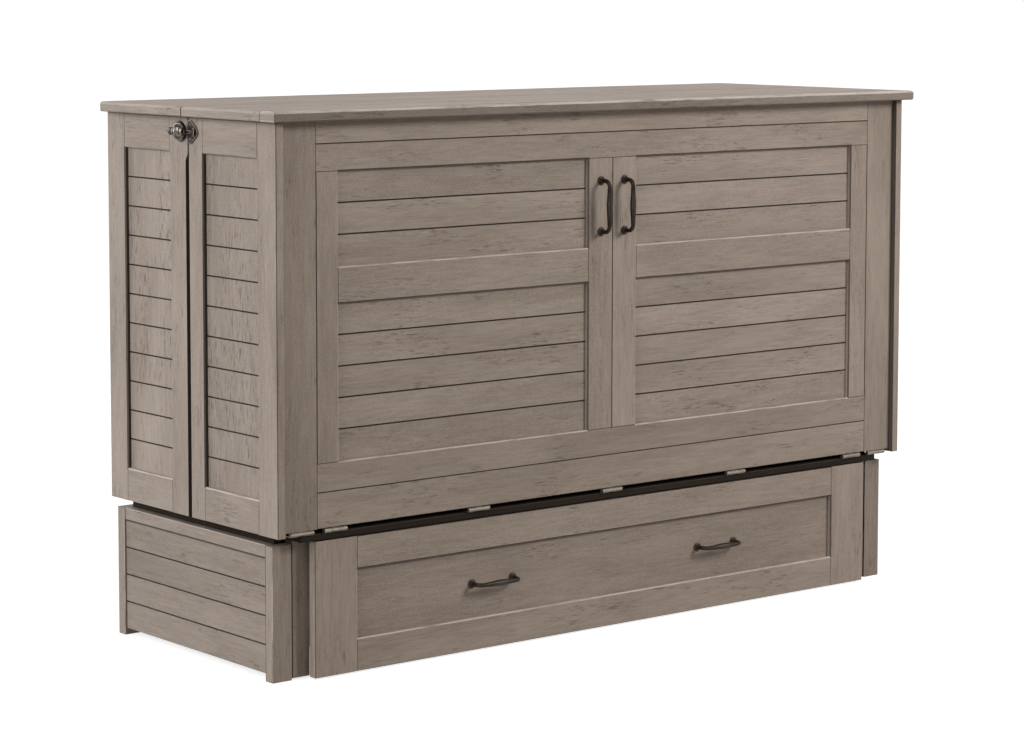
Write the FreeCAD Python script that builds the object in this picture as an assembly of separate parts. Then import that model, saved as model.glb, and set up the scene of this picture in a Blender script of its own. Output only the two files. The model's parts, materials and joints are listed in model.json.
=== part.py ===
import FreeCAD, Part
import math
import os
from FreeCAD import Vector

# Cabinet bed, closed as a sideboard.
# X runs across the front, Y from the front to the back, Z up from the floor.
# The front half of the upper cabinet (face, half of each side and half of the top) is a tray
# that folds forward about the hinges below the face.  The hinges stand on a rolling carriage
# which carries the slats, and which telescopes out of the fixed base on three-part runners.
# The rear half of the upper cabinet stands on the base.  A drawer runs inside the carriage.

# Mattress in three sections, stored upright (mm)
mattress_length = 2032.0
mattress_width = 1524.0
mattress_thickness = 150.0
mattress_side_gap = 40.0        # mattress to the inside of the side frames
mattress_gap = 3.0
mattress_lift = 4.0             # front section above the head floor
mattress_corner = 45.0
mattress_crown = 20.0
mattress_draw = 7.0             # how far the sides pull in between the corners
mattress_step_count = 6         # steps of the crown through the thickness
mattress_flat_share = 0.4       # middle part of the thickness with no crown
bedding_gap = 12.0

# Cabinet
cabinet_depth = 586.0           # front edge of the side frames to the back
side_bottom = 279.0             # underside of the side frames above the floor
side_height = 768.0
frame_thickness = 18.0          # stiles and rails of the sides
seam_gap = 3.0                  # between the folding half and the fixed half
edge_ease = 1.2                 # broken edge along each board

# Top
top_thickness = 20.0
top_side_overhang = 16.0
top_front_overhang = 18.0
nosing_depth = 47.0
top_edge_round = 6.0
top_lower_round = 3.5

# Side frames
side_front_stile = 63.0
side_seam_stile_front = 48.0
side_seam_stile_rear = 65.0
side_rear_stile = 64.0
side_top_rail = 68.0
side_bottom_rail = 65.0
side_plank_count = 11
panel_recess = 8.0
panel_thickness = 8.0
groove_width = 3.0
groove_depth = 2.2
bead = 2.5                      # bevel round each framed opening
finger_groove_width = 8.0
finger_groove_depth = 9.0
finger_groove_below_top = 70.0

# Face of the tray, with two dummy doors
face_recess = 10.0
face_thickness = 22.0
outer_stile = 78.0
door_outer_stile = 50.0
door_inner_stile = 64.0
top_rail = 43.0
door_top_rail = 52.0
door_mid_rail = 69.0
door_bottom_rail = 55.0
bottom_rail = 68.0
upper_plank_count = 3
lower_plank_count = 5

# Butt hinges under the face
hinge_end_inset = 42.0          # middle of the end hinge from the end of the face
hinge_pair_pitch = 76.0         # end hinge to the next one
hinge_length = 52.0
hinge_leaf_depth = 20.0
leaf_thickness = 2.0
knuckle_radius = 4.3
knuckle_set_back = 0.3          # knuckle to the plane of the leaf's outer face
knuckle_count = 3
knuckle_side_count = 12         # facets round a knuckle
knuckle_gap = 0.3
pin_radius = 2.0
pin_clearance = 0.05
bore_side_count = 12            # flats round a plain bore
face_lift = 7.0                 # face panel above the underside of the side frames

# Base
base_inset = 14.0               # base posts inside the side frames
post_width = 44.0
post_depth = 24.0
base_front_set_back = 41.0
base_height = 257.0
base_plank_lift = 14.0
base_top_rail = 24.0
base_plank_count = 4
base_panel_recess = 3.0
base_board = 18.0
bearer_board = 18.0
floor_height = 307.0            # underside of the head floor
floor_thickness = 22.0
floor_side_clearance = 4.0
floor_front_set_back = 36.0
back_panel = 9.0
back_panel_recess = 3.0

# Carriage
post_clearance = 2.0            # carriage leg beside the base post
leg_width = 40.0
leg_depth = 24.0
leg_set_back = 43.0
floor_clearance = 3.0           # wooden parts above the floor
carriage_board = 18.0
carriage_board_bottom = 50.0
hinge_rail_thickness = 12.8
hinge_rail_front = 12.0         # behind the front edge of the side frames
hinge_rail_back = 60.0
carriage_rear_gap = 6.0
deck_clearance = 4.0            # slats below the head floor
slat_thickness = 18.0
slat_width = 48.0
slat_count = 8
centre_rail_width = 40.0
centre_rail_height = 21.0

# Carriage runners
runner_height = 64.0
runner_middle_height = 150.0    # middle of the runner above the floor
runner_steel = 2.0
runner_flange = 11.0
runner_play = 1.6
runner_bar = 18.0
runner_bar_web = 3.0
runner_front_gap = 8.0

# Drawer
drawer_leg_overlap = 7.5        # drawer front over each leg
drawer_top_gap = 2.2            # below the hinge rail
drawer_thickness = 20.0
drawer_set_back = 14.0
drawer_stile = 98.0
drawer_rail = 63.0
drawer_panel_recess = 9.0
drawer_rear_gap = 14.0          # drawer box to the carriage's rear board
drawer_box_board = 12.0
drawer_box_height = 180.0
drawer_box_bottom = 52.0
drawer_floor = 6.0
drawer_runner_gap = 11.5        # carriage board to drawer box
drawer_runner_height = 46.0
drawer_runner_middle = 123.0
drawer_runner_steel = 1.6
drawer_runner_play = 2.0

# Casters
wheel_radius = 20.0
wheel_width = 14.0
wheel_bore = 3.0
axle_clearance = 0.08
fork_clearance = 1.5
fork_steel = 2.0
fork_length = 30.0
carriage_wheel_front = 102.0    # wheel centre behind the front edge of the side frames
carriage_wheel_rear = 36.0      # wheel centre ahead of the carriage's rear
drawer_wheel_front = 62.0
drawer_wheel_inset = 55.0       # from the end of the drawer front

# Pulls
pull_spacing = 102.0
pull_projection = 33.0
pull_foot_radius = 8.5
pull_foot_height = 6.0
pull_neck_radius = 3.6
pull_belly_radius = 5.6
pull_elbow = 13.0
pull_side_count = 12            # facets round the bar
door_pull_offset = 31.0         # from the middle of the cabinet
door_pull_below_rail = 96.0     # middle of the pull under the door's top rail
drawer_pull_offset = 298.0

# Side latches
latch_below_top = 29.0
latch_behind_seam = 27.0
latch_rose_radius = 20.0
latch_rose_thickness = 3.0
latch_rim = 3.0
latch_hub_radius = 9.0
latch_hub_height = 6.5
latch_play = 0.4
latch_side_count = 24           # facets round the rose and the hub, half as many on the handle
latch_tongue_length = 50.0
latch_tongue_width = 8.0
latch_tongue_thickness = 3.0
latch_handle_length = 47.0
latch_handle_radius = 2.3
latch_collar_radius = 3.2
latch_knob_radius = 4.6
latch_pin_radius = 3.0
latch_pin_head_radius = 5.4
latch_pin_head_height = 1.5
strike_length = 34.0
strike_height = 44.0
strike_thickness = 3.0
strike_rib = 5.0
strike_rib_height = 3.5
strike_waist = 5.0
strike_edge_gap = 1.0           # strike to the tray's rear edge
tongue_tip_gap = 1.0            # tongue to the strike's rib

# Places worked out from the sizes above
inner_half_width = mattress_width / 2 + mattress_side_gap
half_width = inner_half_width + frame_thickness
side_top = side_bottom + side_height
front_reach = max(top_front_overhang, pull_projection - face_recess)
front_edge = (front_reach - cabinet_depth) / 2
rear_edge = front_edge + cabinet_depth
seam = front_edge + cabinet_depth / 2
seam_front = seam - seam_gap / 2
seam_rear = seam + seam_gap / 2
face_front = front_edge + face_recess
face_back = face_front + face_thickness
face_bottom = side_bottom + face_lift
hinge_y = face_front
hinge_z = face_bottom - knuckle_radius - knuckle_set_back
base_outer = half_width - base_inset
base_front = front_edge + base_front_set_back
side_board_outer = base_outer - base_panel_recess
bearer_outer = side_board_outer - base_board
bearer_inner = bearer_outer - bearer_board
floor_top = floor_height + floor_thickness
leg_outer = base_outer - post_width - post_clearance
leg_inner = leg_outer - leg_width
leg_front = front_edge + leg_set_back
leg_back = leg_front + leg_depth
carriage_outer = leg_inner + carriage_board
deck_top = floor_height - deck_clearance
deck_bottom = deck_top - slat_thickness
base_back_front = rear_edge - post_depth
carriage_rear = base_back_front - carriage_rear_gap
hinge_rail_top = hinge_z - knuckle_radius - knuckle_set_back
hinge_rail_bottom = hinge_rail_top - hinge_rail_thickness
drawer_top = hinge_rail_bottom - drawer_top_gap
drawer_front = front_edge + drawer_set_back
drawer_back = drawer_front + drawer_thickness
drawer_half_width = leg_inner + drawer_leg_overlap
drawer_box_outer = leg_inner - drawer_runner_gap
drawer_box_end = carriage_rear - carriage_board - drawer_rear_gap
section_length = mattress_length / 3
head_reach = rear_edge - back_panel_recess - back_panel - hinge_y
foot_reach = side_top - hinge_z
carriage_travel = mattress_length + bedding_gap - head_reach - foot_reach
latch_y = seam + latch_behind_seam
latch_z = side_top - latch_below_top


def on_front(u, v, depth):
    """A point on the face: u across, v up, depth behind the face."""
    return Vector(u, face_front + depth, v)


def on_drawer(u, v, depth):
    return Vector(u, drawer_front + depth, v)


def on_side(sign):
    """Points on the outside of one side: u towards the back, v up, depth inwards."""
    return lambda u, v, depth: Vector(sign * (half_width - depth), u, v)


def on_base_side(sign):
    return lambda u, v, depth: Vector(sign * (base_outer - depth), u, v)


def box(x0, x1, y0, y1, z0, z1):
    return Part.makeBox(x1 - x0, y1 - y0, z1 - z0, Vector(x0, y0, z0))


def block(place, u0, u1, v0, v1, d0, d1):
    a = place(u0, v0, d0)
    b = place(u1, v1, d1)
    low = (min(a.x, b.x), min(a.y, b.y), min(a.z, b.z))
    high = (max(a.x, b.x), max(a.y, b.y), max(a.z, b.z))
    return box(low[0], high[0], low[1], high[1], low[2], high[2])


def eased(solid, size=edge_ease):
    """Break the four long edges of a board."""
    bounds = solid.BoundBox
    spans = (bounds.XLength, bounds.YLength, bounds.ZLength)
    along = spans.index(max(spans))
    long_edges = []
    for edge in solid.Edges:
        step = edge.Vertexes[-1].Point - edge.Vertexes[0].Point
        if abs(step[along]) > 0.9 * edge.Length:
            long_edges.append(edge)
    return solid.makeChamfer(min(size, 0.2 * min(spans)), long_edges)


def board(x0, x1, y0, y1, z0, z1):
    return eased(box(x0, x1, y0, y1, z0, z1))


def prism(points, run):
    """Extrude a closed outline of points along a vector."""
    outline = Part.makePolygon(list(points) + [points[0]])
    return Part.Face(outline).extrude(run)


def bevel_cutter(place, u0, u1, v0, v1):
    """A shallow frustum that bevels the edge of a framed opening at 45 degrees."""
    wires = []
    for grow, depth in ((bead, 0.0), (0.0, bead)):
        corners = [place(u0 - grow, v0 - grow, depth), place(u1 + grow, v0 - grow, depth),
                   place(u1 + grow, v1 + grow, depth), place(u0 - grow, v1 + grow, depth)]
        wires.append(Part.makePolygon(corners + [corners[0]]))
    return Part.makeLoft(wires, True, True)


def frame_boards(place, u0, u1, v0, v1, stiles, rails, thickness):
    """Two full-height stiles with two rails between them, bevelled round the opening."""
    left, right = stiles
    low, high = rails
    opening = (u0 + left, u1 - right, v0 + low, v1 - high)
    boards = [block(place, u0, opening[0], v0, v1, 0, thickness),
              block(place, opening[1], u1, v0, v1, 0, thickness),
              block(place, opening[0], opening[1], v0, opening[2], 0, thickness),
              block(place, opening[0], opening[1], opening[3], v1, 0, thickness)]
    cutter = bevel_cutter(place, *opening)
    return [eased(piece).cut(cutter) for piece in boards], opening


def grooved_panel(place, u0, u1, v0, v1, depth, thickness, planks):
    """A panel behind its frame, scored into planks."""
    panel = block(place, u0, u1, v0, v1, depth, depth + thickness)
    pitch = (v1 - v0) / planks
    half = groove_width / 2
    cutters = []
    for row in range(1, planks):
        v = v0 + row * pitch
        section = [place(u0, v - half, depth), place(u0, v + half, depth),
                   place(u0, v, depth + groove_depth)]
        cutters.append(prism(section, place(u1, v, depth) - place(u0, v, depth)))
    return panel.cut(cutters) if cutters else panel


def mirrored(shape):
    return shape.mirror(Vector(0, 0, 0), Vector(1, 0, 0))


def both_sides(shapes):
    return list(shapes) + [mirrored(shape) for shape in shapes]


def save(name, solids):
    group = list(solids) if isinstance(solids, (list, tuple)) else [solids]
    shape = group[0] if len(group) == 1 else Part.makeCompound(group)
    shape.exportStep(os.path.join("parts", name + ".step"))


def rounded(solid, radius, chosen):
    """Fillet the edges whose middle passes the test."""
    picked = [edge for edge in solid.Edges if chosen(edge.CenterOfMass)]
    return solid.makeFillet(radius, picked)


def skin(rings):
    """A solid with flat facets between rings of points, closed at both ends."""
    faces = [Part.Face(Part.makePolygon(ring + [ring[0]])) for ring in (rings[0], rings[-1])]
    for near, far in zip(rings, rings[1:]):
        for k in range(len(near)):
            n = (k + 1) % len(near)
            faces.append(Part.Face(Part.makePolygon([near[k], near[n], far[n], far[k], near[k]])))
    solid = Part.makeSolid(Part.makeShell(faces))
    if solid.Volume < 0:
        solid.reverse()
    return solid


def faceted(profile, sides, start, axis):
    """A turned form about a level axis: the profile gives the distance along it and the radius."""
    across = Vector(0, 0, 1)
    third = axis.cross(across)
    rings = []
    for along, radius in profile:
        ring = []
        for k in range(sides):
            angle = 2 * math.pi * k / sides
            spoke = across * (radius * math.cos(angle)) + third * (radius * math.sin(angle))
            ring.append(start + axis * along + spoke)
        rings.append(ring)
    return skin(rings)


def plain_bore(radius, start, length, axis):
    """A cutter whose flats all touch the given radius from outside."""
    corner = radius / math.cos(math.pi / bore_side_count)
    return faceted([(0, corner), (length, corner)], bore_side_count, start, axis)


def bent_bar(path, sides):
    """A round bar mitred along a path in the plane z = 0: x, y and the radius at each point."""
    rings = []
    for index, (x, y, radius) in enumerate(path):
        point = Vector(x, y, 0)
        steps = []
        for a, b in ((index - 1, index), (index, index + 1)):
            if a >= 0 and b < len(path):
                steps.append(Vector(path[b][0] - path[a][0], path[b][1] - path[a][1], 0).normalize())
        forward = (steps[0] + steps[-1]).normalize()
        stretch = 1 / forward.dot(steps[0])
        ring = []
        for k in range(sides):
            angle = 2 * math.pi * k / sides
            side = radius * stretch * math.cos(angle)
            ring.append(point + Vector(-forward.y * side, forward.x * side, radius * math.sin(angle)))
        rings.append(ring)
    return skin(rings)


# ---- top

def top_board(y0, y1):
    """A flat length of the top with its two ends rounded over."""
    reach = half_width + top_side_overhang
    slab = box(-reach, reach, y0, y1, side_top, side_top + top_thickness)
    near = 0.01
    slab = rounded(slab, top_edge_round,
                   lambda c: abs(abs(c.x) - reach) < near and abs(c.z - side_top - top_thickness) < near)
    return rounded(slab, top_lower_round,
                   lambda c: abs(abs(c.x) - reach) < near and abs(c.z - side_top) < near)


def nosing():
    """The board along the front of the top, bullnosed to the front and to both ends."""
    reach = half_width + top_side_overhang
    front = front_edge - top_front_overhang
    slab = box(-reach, reach, front, front + nosing_depth, side_top, side_top + top_thickness)
    near = 0.01

    def outside(c):
        return abs(abs(c.x) - reach) < near or abs(c.y - front) < near

    slab = rounded(slab, top_edge_round,
                   lambda c: outside(c) and abs(c.z - side_top - top_thickness) < near)
    return rounded(slab, top_lower_round, lambda c: outside(c) and abs(c.z - side_top) < near)


def make_tops():
    save("front_top_nosing", nosing())
    save("front_top", top_board(front_edge - top_front_overhang + nosing_depth, seam_front))
    save("rear_top", top_board(seam_rear, rear_edge))


# ---- sides

def finger_groove(sign):
    """A rebate down the outer arris of the fixed half's seam stile, to pull the tray open."""
    place = on_side(sign)
    top = side_top - finger_groove_below_top
    low = side_bottom
    ramp = finger_groove_width * 1.6
    outline = [place(seam_rear, low, 0), place(seam_rear + finger_groove_width, low, 0),
               place(seam_rear + finger_groove_width, top - ramp, 0), place(seam_rear, top, 0)]
    inward = place(seam_rear, low, finger_groove_depth) - place(seam_rear, low, 0)
    return prism(outline, inward)


def make_sides():
    rails = (side_bottom_rail, side_top_rail)
    halves = {"front": (front_edge, seam_front, (side_front_stile, side_seam_stile_front)),
              "rear": (seam_rear, rear_edge, (side_seam_stile_rear, side_rear_stile))}
    for hand, sign in (("left", -1), ("right", 1)):
        place = on_side(sign)
        for half, (u0, u1, stiles) in halves.items():
            boards, opening = frame_boards(place, u0, u1, side_bottom, side_top, stiles, rails,
                                           frame_thickness)
            if half == "rear":
                boards[0] = boards[0].cut(finger_groove(sign))
            save(half + "_" + hand + "_side_frame", boards)
            panel = grooved_panel(place, *opening, panel_recess, panel_thickness, side_plank_count)
            save(half + "_" + hand + "_side_panel", panel)


# ---- face of the tray

def face_levels():
    """Heights of the face's rails, from the bottom to the top."""
    rails = bottom_rail + door_bottom_rail + door_mid_rail + door_top_rail + top_rail
    pitch = (side_top - face_bottom - rails) / (upper_plank_count + lower_plank_count)
    levels = [face_bottom]
    for step in (bottom_rail, door_bottom_rail, lower_plank_count * pitch, door_mid_rail,
                 upper_plank_count * pitch, door_top_rail):
        levels.append(levels[-1] + step)
    levels.append(side_top)
    return levels


def make_face():
    z = face_levels()
    inner = inner_half_width
    rail_end = inner - outer_stile
    door_edge = rail_end - door_outer_stile

    def piece(u0, u1, v0, v1):
        return eased(block(on_front, u0, u1, v0, v1, 0, face_thickness))

    def rail(v0, v1):
        return piece(-rail_end, rail_end, v0, v1)

    openings = []
    for u0, u1 in ((-door_edge, -door_inner_stile), (door_inner_stile, door_edge)):
        openings.append((u0, u1, z[2], z[3], lower_plank_count))
        openings.append((u0, u1, z[4], z[5], upper_plank_count))
    cutters = [bevel_cutter(on_front, *opening[:4]) for opening in openings]

    def bevelled(solid):
        return solid.cut(cutters)

    outer = piece(-inner, -rail_end, z[0], z[7])
    save("front_outer_stiles", both_sides([outer]))
    save("front_upper_rails", [bevelled(rail(z[5], z[6])), rail(z[6], z[7])])
    save("front_lower_rails", [rail(z[0], z[1]), bevelled(rail(z[1], z[2]))])
    save("false_door_stiles", both_sides([bevelled(piece(-rail_end, -door_edge, z[2], z[5])),
                                          bevelled(piece(-door_inner_stile, 0, z[2], z[5]))]))
    middle = bevelled(piece(-door_edge, -door_inner_stile, z[3], z[4]))
    save("false_door_mid_rails", both_sides([middle]))
    panels = []
    for u0, u1, v0, v1, planks in openings:
        panels.append(grooved_panel(on_front, u0, u1, v0, v1, panel_recess, panel_thickness, planks))
    save("false_door_panels", panels)


# ---- hinges

def hinge_places():
    end = inner_half_width - hinge_end_inset
    second = end - hinge_pair_pitch
    return [-end, -second, -second / 2, 0.0, second / 2, second, end]


def hinge_leaf(x, upper):
    """One leaf with its knuckles bored for the pin."""
    outward = 1 if upper else -1
    face = hinge_z + outward * (knuckle_radius + knuckle_set_back)
    inside = face - outward * leaf_thickness
    low, high = min(face, inside), max(face, inside)
    start = x - hinge_length / 2
    clear = knuckle_radius + knuckle_set_back
    leaf = box(start, start + hinge_length, hinge_y + clear, hinge_y + hinge_leaf_depth, low, high)
    pitch = hinge_length / knuckle_count
    length = pitch - knuckle_gap
    along = Vector(1, 0, 0)
    pieces = []
    for index in range(knuckle_count):
        if (index % 2 == 1) != upper:
            continue
        x0 = start + index * pitch + knuckle_gap / 2
        barrel = [(0, knuckle_radius), (length, knuckle_radius)]
        pieces.append(faceted(barrel, knuckle_side_count, Vector(x0, hinge_y, hinge_z), along))
        pieces.append(box(x0, x0 + length, hinge_y, hinge_y + clear, low, high))
    end = Vector(start, hinge_y, hinge_z)
    bore = plain_bore(pin_radius + pin_clearance, end, hinge_length, along)
    return leaf.multiFuse(pieces).cut(bore).removeSplitter()


def hinge_pin(x):
    start = Vector(x - (hinge_length - knuckle_gap) / 2, hinge_y, hinge_z)
    return Part.makeCylinder(pin_radius, hinge_length - knuckle_gap, start, Vector(1, 0, 0))


def make_hinges():
    places = hinge_places()
    save("hinge_upper_leaves", [hinge_leaf(x, True) for x in places])
    save("hinge_lower_leaves", [hinge_leaf(x, False) for x in places])
    save("hinge_pins", [hinge_pin(x) for x in places])


# ---- pulls

def pull():
    """A bail pull along X, its feet on the plane y = 0 and its bellied bar towards -Y."""
    x = pull_spacing / 2
    bar_y = -(pull_projection - pull_belly_radius)
    neck = pull_neck_radius
    belly = pull_belly_radius
    turn = pull_elbow
    half = [(x, 0, pull_foot_radius), (x, -0.35 * pull_foot_height, pull_foot_radius),
            (x, -0.55 * pull_foot_height, 0.7 * pull_foot_radius), (x, -pull_foot_height, neck),
            (x, bar_y + turn, neck), (x - 0.13 * turn, bar_y + 0.5 * turn, neck),
            (x - 0.5 * turn, bar_y + 0.13 * turn, neck), (x - turn, bar_y, neck),
            (x - 1.2 * turn, bar_y, neck), (0.35 * x, bar_y, 0.9 * belly)]
    other = [(-along, y, radius) for along, y, radius in reversed(half)]
    return bent_bar(half + [(0, bar_y, belly)] + other, pull_side_count)


def make_pulls():
    z = face_levels()
    upright = pull()
    upright.rotate(Vector(0, 0, 0), Vector(0, 1, 0), 90)
    for hand, sign in (("left", -1), ("right", 1)):
        door = upright.copy()
        door.translate(Vector(sign * door_pull_offset, face_front, z[5] - door_pull_below_rail))
        save("door_pull_" + hand, door)
        level = pull()
        middle = (floor_clearance + drawer_top) / 2
        level.translate(Vector(sign * drawer_pull_offset, drawer_front + drawer_panel_recess, middle))
        save("drawer_pull_" + hand, level)


# ---- side latches

def latch_rose():
    """Round plate with a raised rim and a headed pin that carries the lever."""
    start = Vector(-half_width, latch_y, latch_z)
    r = latch_rose_radius
    t = latch_rose_thickness
    out = Vector(-1, 0, 0)
    rim = r - latch_rim
    profile = [(0, r), (0.5 * t, r), (t, r - 0.4 * latch_rim), (t, rim), (0.6 * t, 0.9 * rim),
               (t, 0.55 * rim)]
    plate = faceted(profile, latch_side_count, start, out)
    stem = t + latch_play + latch_hub_height + latch_play
    pin = Part.makeCylinder(latch_pin_radius, stem, start, out)
    cap = [(stem, latch_pin_head_radius), (stem + 0.5 * latch_pin_head_height, latch_pin_head_radius),
           (stem + latch_pin_head_height, 0.6 * latch_pin_head_radius)]
    return plate.multiFuse([pin, faceted(cap, latch_side_count // 2, start, out)]).removeSplitter()


def latch_lever():
    """Hub with a tongue over the strike and a turned handle with a knob to the rear."""
    x = -half_width - latch_rose_thickness - latch_play
    out = Vector(-1, 0, 0)
    pivot = Vector(x, latch_y, latch_z)
    h = latch_hub_height
    hub = faceted([(0, latch_hub_radius), (0.7 * h, latch_hub_radius), (h, 0.8 * latch_hub_radius)],
                  latch_side_count, pivot, out)
    tip = -latch_tongue_length
    w = latch_tongue_width / 2
    outline = [(0, -w), (tip + w, -w), (tip, 0), (tip + w, w), (0, w)]
    tongue = prism([pivot + Vector(0, y, z) for y, z in outline], out * latch_tongue_thickness)
    end = latch_handle_length
    bar = latch_handle_radius
    knob = latch_knob_radius
    profile = [(0, bar), (0.34 * end, 0.9 * bar), (0.38 * end, latch_collar_radius),
               (0.46 * end, latch_collar_radius), (0.5 * end, bar), (end - 2 * knob, 0.75 * bar),
               (end - 1.5 * knob, knob), (end - 0.5 * knob, knob), (end, 0.5 * knob)]
    handle = faceted(profile, latch_side_count // 2, pivot + out * (h / 2), Vector(0, 1, 0))
    lever = hub.multiFuse([tongue, handle]).removeSplitter()
    return lever.cut(Part.makeCylinder(latch_pin_radius + pin_clearance, 3 * h, pivot - out * h, out))


def strike():
    """Strike plate on the tray's side: an ogee outline with a rib that the tongue drops behind."""
    x = -half_width
    back = seam_front - strike_edge_gap
    front = back - strike_length
    half = strike_height / 2
    low = latch_z - half
    high = latch_z + half
    waist = strike_waist
    a = Vector(x, back, low)
    b = Vector(x, back, high)
    c = Vector(x, back - 0.35 * strike_length, high)
    d = Vector(x, front, latch_z + 0.25 * half)
    e = Vector(x, front, latch_z - 0.25 * half)
    f = Vector(x, back - 0.35 * strike_length, low)
    upper = Part.Arc(c, Vector(x, front + 0.3 * strike_length + waist, latch_z + 0.55 * half), d).toShape()
    lower = Part.Arc(e, Vector(x, front + 0.3 * strike_length + waist, latch_z - 0.55 * half), f).toShape()
    outline = Part.Wire([Part.makeLine(a, b), Part.makeLine(b, c), upper, Part.makeLine(d, e), lower,
                         Part.makeLine(f, a)])
    plate = Part.Face(outline).extrude(Vector(-strike_thickness, 0, 0))
    rib_end = latch_y - latch_tongue_length - tongue_tip_gap
    rib = box(x - strike_thickness - strike_rib_height, x, rib_end - strike_rib, rib_end,
              latch_z - 0.35 * half, latch_z + 0.35 * half)
    return plate.fuse(rib).removeSplitter()


def make_latches():
    save("latch_plates", both_sides([latch_rose()]))
    save("latch_strikes", both_sides([strike()]))
    lever = latch_lever()
    save("latch_lever_left", lever)
    save("latch_lever_right", mirrored(lever))


# ---- base

def make_base():
    posts = []
    for y0 in (base_front, rear_edge - post_depth):
        posts.append(board(-base_outer, -base_outer + post_width, y0, y0 + post_depth, 0, base_height))
    save("base_posts", both_sides(posts))
    y0 = base_front + post_depth
    y1 = rear_edge - post_depth
    rail_low = base_height - base_top_rail
    recess = base_panel_recess
    panel = grooved_panel(on_base_side(-1), y0, y1, base_plank_lift, rail_low, recess, base_board,
                          base_plank_count)
    save("base_side_panels", both_sides([panel]))
    rail = eased(block(on_base_side(-1), y0, y1, rail_low, base_height, recess, recess + base_board))
    save("base_top_rails", both_sides([rail]))
    bearer = board(-bearer_outer, -bearer_inner, y0, y1, base_plank_lift, floor_height)
    save("base_bearers", both_sides([bearer]))
    inner = base_outer - post_width
    save("base_back", board(-inner, inner, y1, y1 + base_board, base_plank_lift, floor_height))


def make_head_floor():
    wide = inner_half_width
    narrow = wide - floor_side_clearance
    front = front_edge + floor_front_set_back
    back = rear_edge - back_panel_recess - back_panel
    outline = [(-narrow, front), (narrow, front), (narrow, seam_rear), (wide, seam_rear), (wide, back),
               (-wide, back), (-wide, seam_rear), (-narrow, seam_rear)]
    points = [Vector(x, y, floor_height) for x, y in outline]
    save("head_floor", prism(points, Vector(0, 0, floor_thickness)))
    save("back_panel", box(-wide, wide, back, back + back_panel, floor_height, side_top))


# ---- carriage

def make_carriage():
    leg = board(-leg_outer, -leg_inner, leg_front, leg_back, floor_clearance, hinge_rail_bottom)
    save("carriage_legs", both_sides([leg]))
    rail = board(-leg_outer, leg_outer, front_edge + hinge_rail_front, front_edge + hinge_rail_back,
                 hinge_rail_bottom, hinge_rail_top)
    save("hinge_rail", rail)
    side = board(-carriage_outer, -leg_inner, leg_back, carriage_rear, carriage_board_bottom, deck_bottom)
    save("carriage_sides", both_sides([side]))
    rear_front = carriage_rear - carriage_board
    rear = board(-leg_inner, leg_inner, rear_front, carriage_rear, carriage_board_bottom, deck_bottom)
    half = centre_rail_width / 2
    centre = board(-half, half, front_edge + hinge_rail_back, rear_front, deck_bottom - centre_rail_height,
                   deck_bottom)
    save("carriage_rear_and_centre", [rear, centre])
    first = leg_back
    pitch = (carriage_rear - first - slat_width) / (slat_count - 1)
    slats = []
    for row in range(slat_count):
        y0 = first + row * pitch
        slats.append(board(-carriage_outer, carriage_outer, y0, y0 + slat_width, deck_bottom, deck_top))
    save("carriage_slats", slats)


# ---- runners

def channel(x_web, opens, y0, y1, middle, height, steel, flange):
    """A steel channel along Y whose flanges point along X by the sign of opens."""
    half = height / 2
    tip = x_web + opens * flange
    inner = x_web + opens * steel
    outline = [(x_web, middle - half), (tip, middle - half), (tip, middle - half + steel),
               (inner, middle - half + steel), (inner, middle + half - steel), (tip, middle + half - steel),
               (tip, middle + half), (x_web, middle + half)]
    points = [Vector(x, y0, z) for x, z in outline]
    return prism(points, Vector(0, y1 - y0, 0))


def make_runners():
    y0 = leg_back + runner_front_gap
    y1 = carriage_rear
    z = runner_middle_height
    steel = runner_steel
    fixed = channel(-bearer_inner, 1, y0, y1, z, runner_height, steel, runner_flange + steel)
    moving = channel(-carriage_outer, -1, y0, y1, z, runner_height, steel, runner_flange)
    save("runner_outer_channels", both_sides([fixed]))
    save("runner_inner_channels", both_sides([moving]))
    outer = base_outer - post_width - runner_play
    inner = outer - runner_bar
    half = runner_height / 2 - steel - runner_play
    web = (outer + inner) / 2
    flange = box(-outer, -inner, y0, y1, z - half, z - half + runner_bar_web)
    top = box(-outer, -inner, y0, y1, z + half - runner_bar_web, z + half)
    middle = box(-web - runner_bar_web / 2, -web + runner_bar_web / 2, y0, y1, z - half, z + half)
    save("runner_middles", both_sides([middle.multiFuse([flange, top]).removeSplitter()]))


# ---- drawer

def make_drawer():
    half = drawer_half_width
    boards, opening = frame_boards(on_drawer, -half, half, floor_clearance, drawer_top,
                                   (drawer_stile, drawer_stile), (drawer_rail, drawer_rail),
                                   drawer_thickness)
    save("drawer_front_frame", boards)
    panel = block(on_drawer, *opening, drawer_panel_recess, drawer_thickness)
    save("drawer_front_panel", panel)
    outer = drawer_box_outer
    inner = outer - drawer_box_board
    low = drawer_box_bottom
    high = low + drawer_box_height
    side = board(-outer, -inner, drawer_back, drawer_box_end, low, high)
    back = board(-inner, inner, drawer_box_end - drawer_box_board, drawer_box_end, low, high)
    save("drawer_box", both_sides([side]) + [back])
    save("drawer_bottom", box(-inner, inner, drawer_back, drawer_box_end - drawer_box_board, low,
                              low + drawer_floor))
    y0 = leg_back + runner_front_gap
    steel = drawer_runner_steel
    z = drawer_runner_middle
    flange = drawer_runner_gap - drawer_runner_play
    fixed = channel(-leg_inner, 1, y0, carriage_rear - carriage_board, z, drawer_runner_height, steel,
                    flange)
    save("drawer_runner_channels", both_sides([fixed]))
    bar_half = drawer_runner_height / 2 - steel - drawer_runner_play
    bar = box(-leg_inner + steel + drawer_runner_play, -outer, drawer_back, drawer_box_end, z - bar_half,
              z + bar_half)
    save("drawer_runner_bars", both_sides([bar]))


# ---- casters

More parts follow.
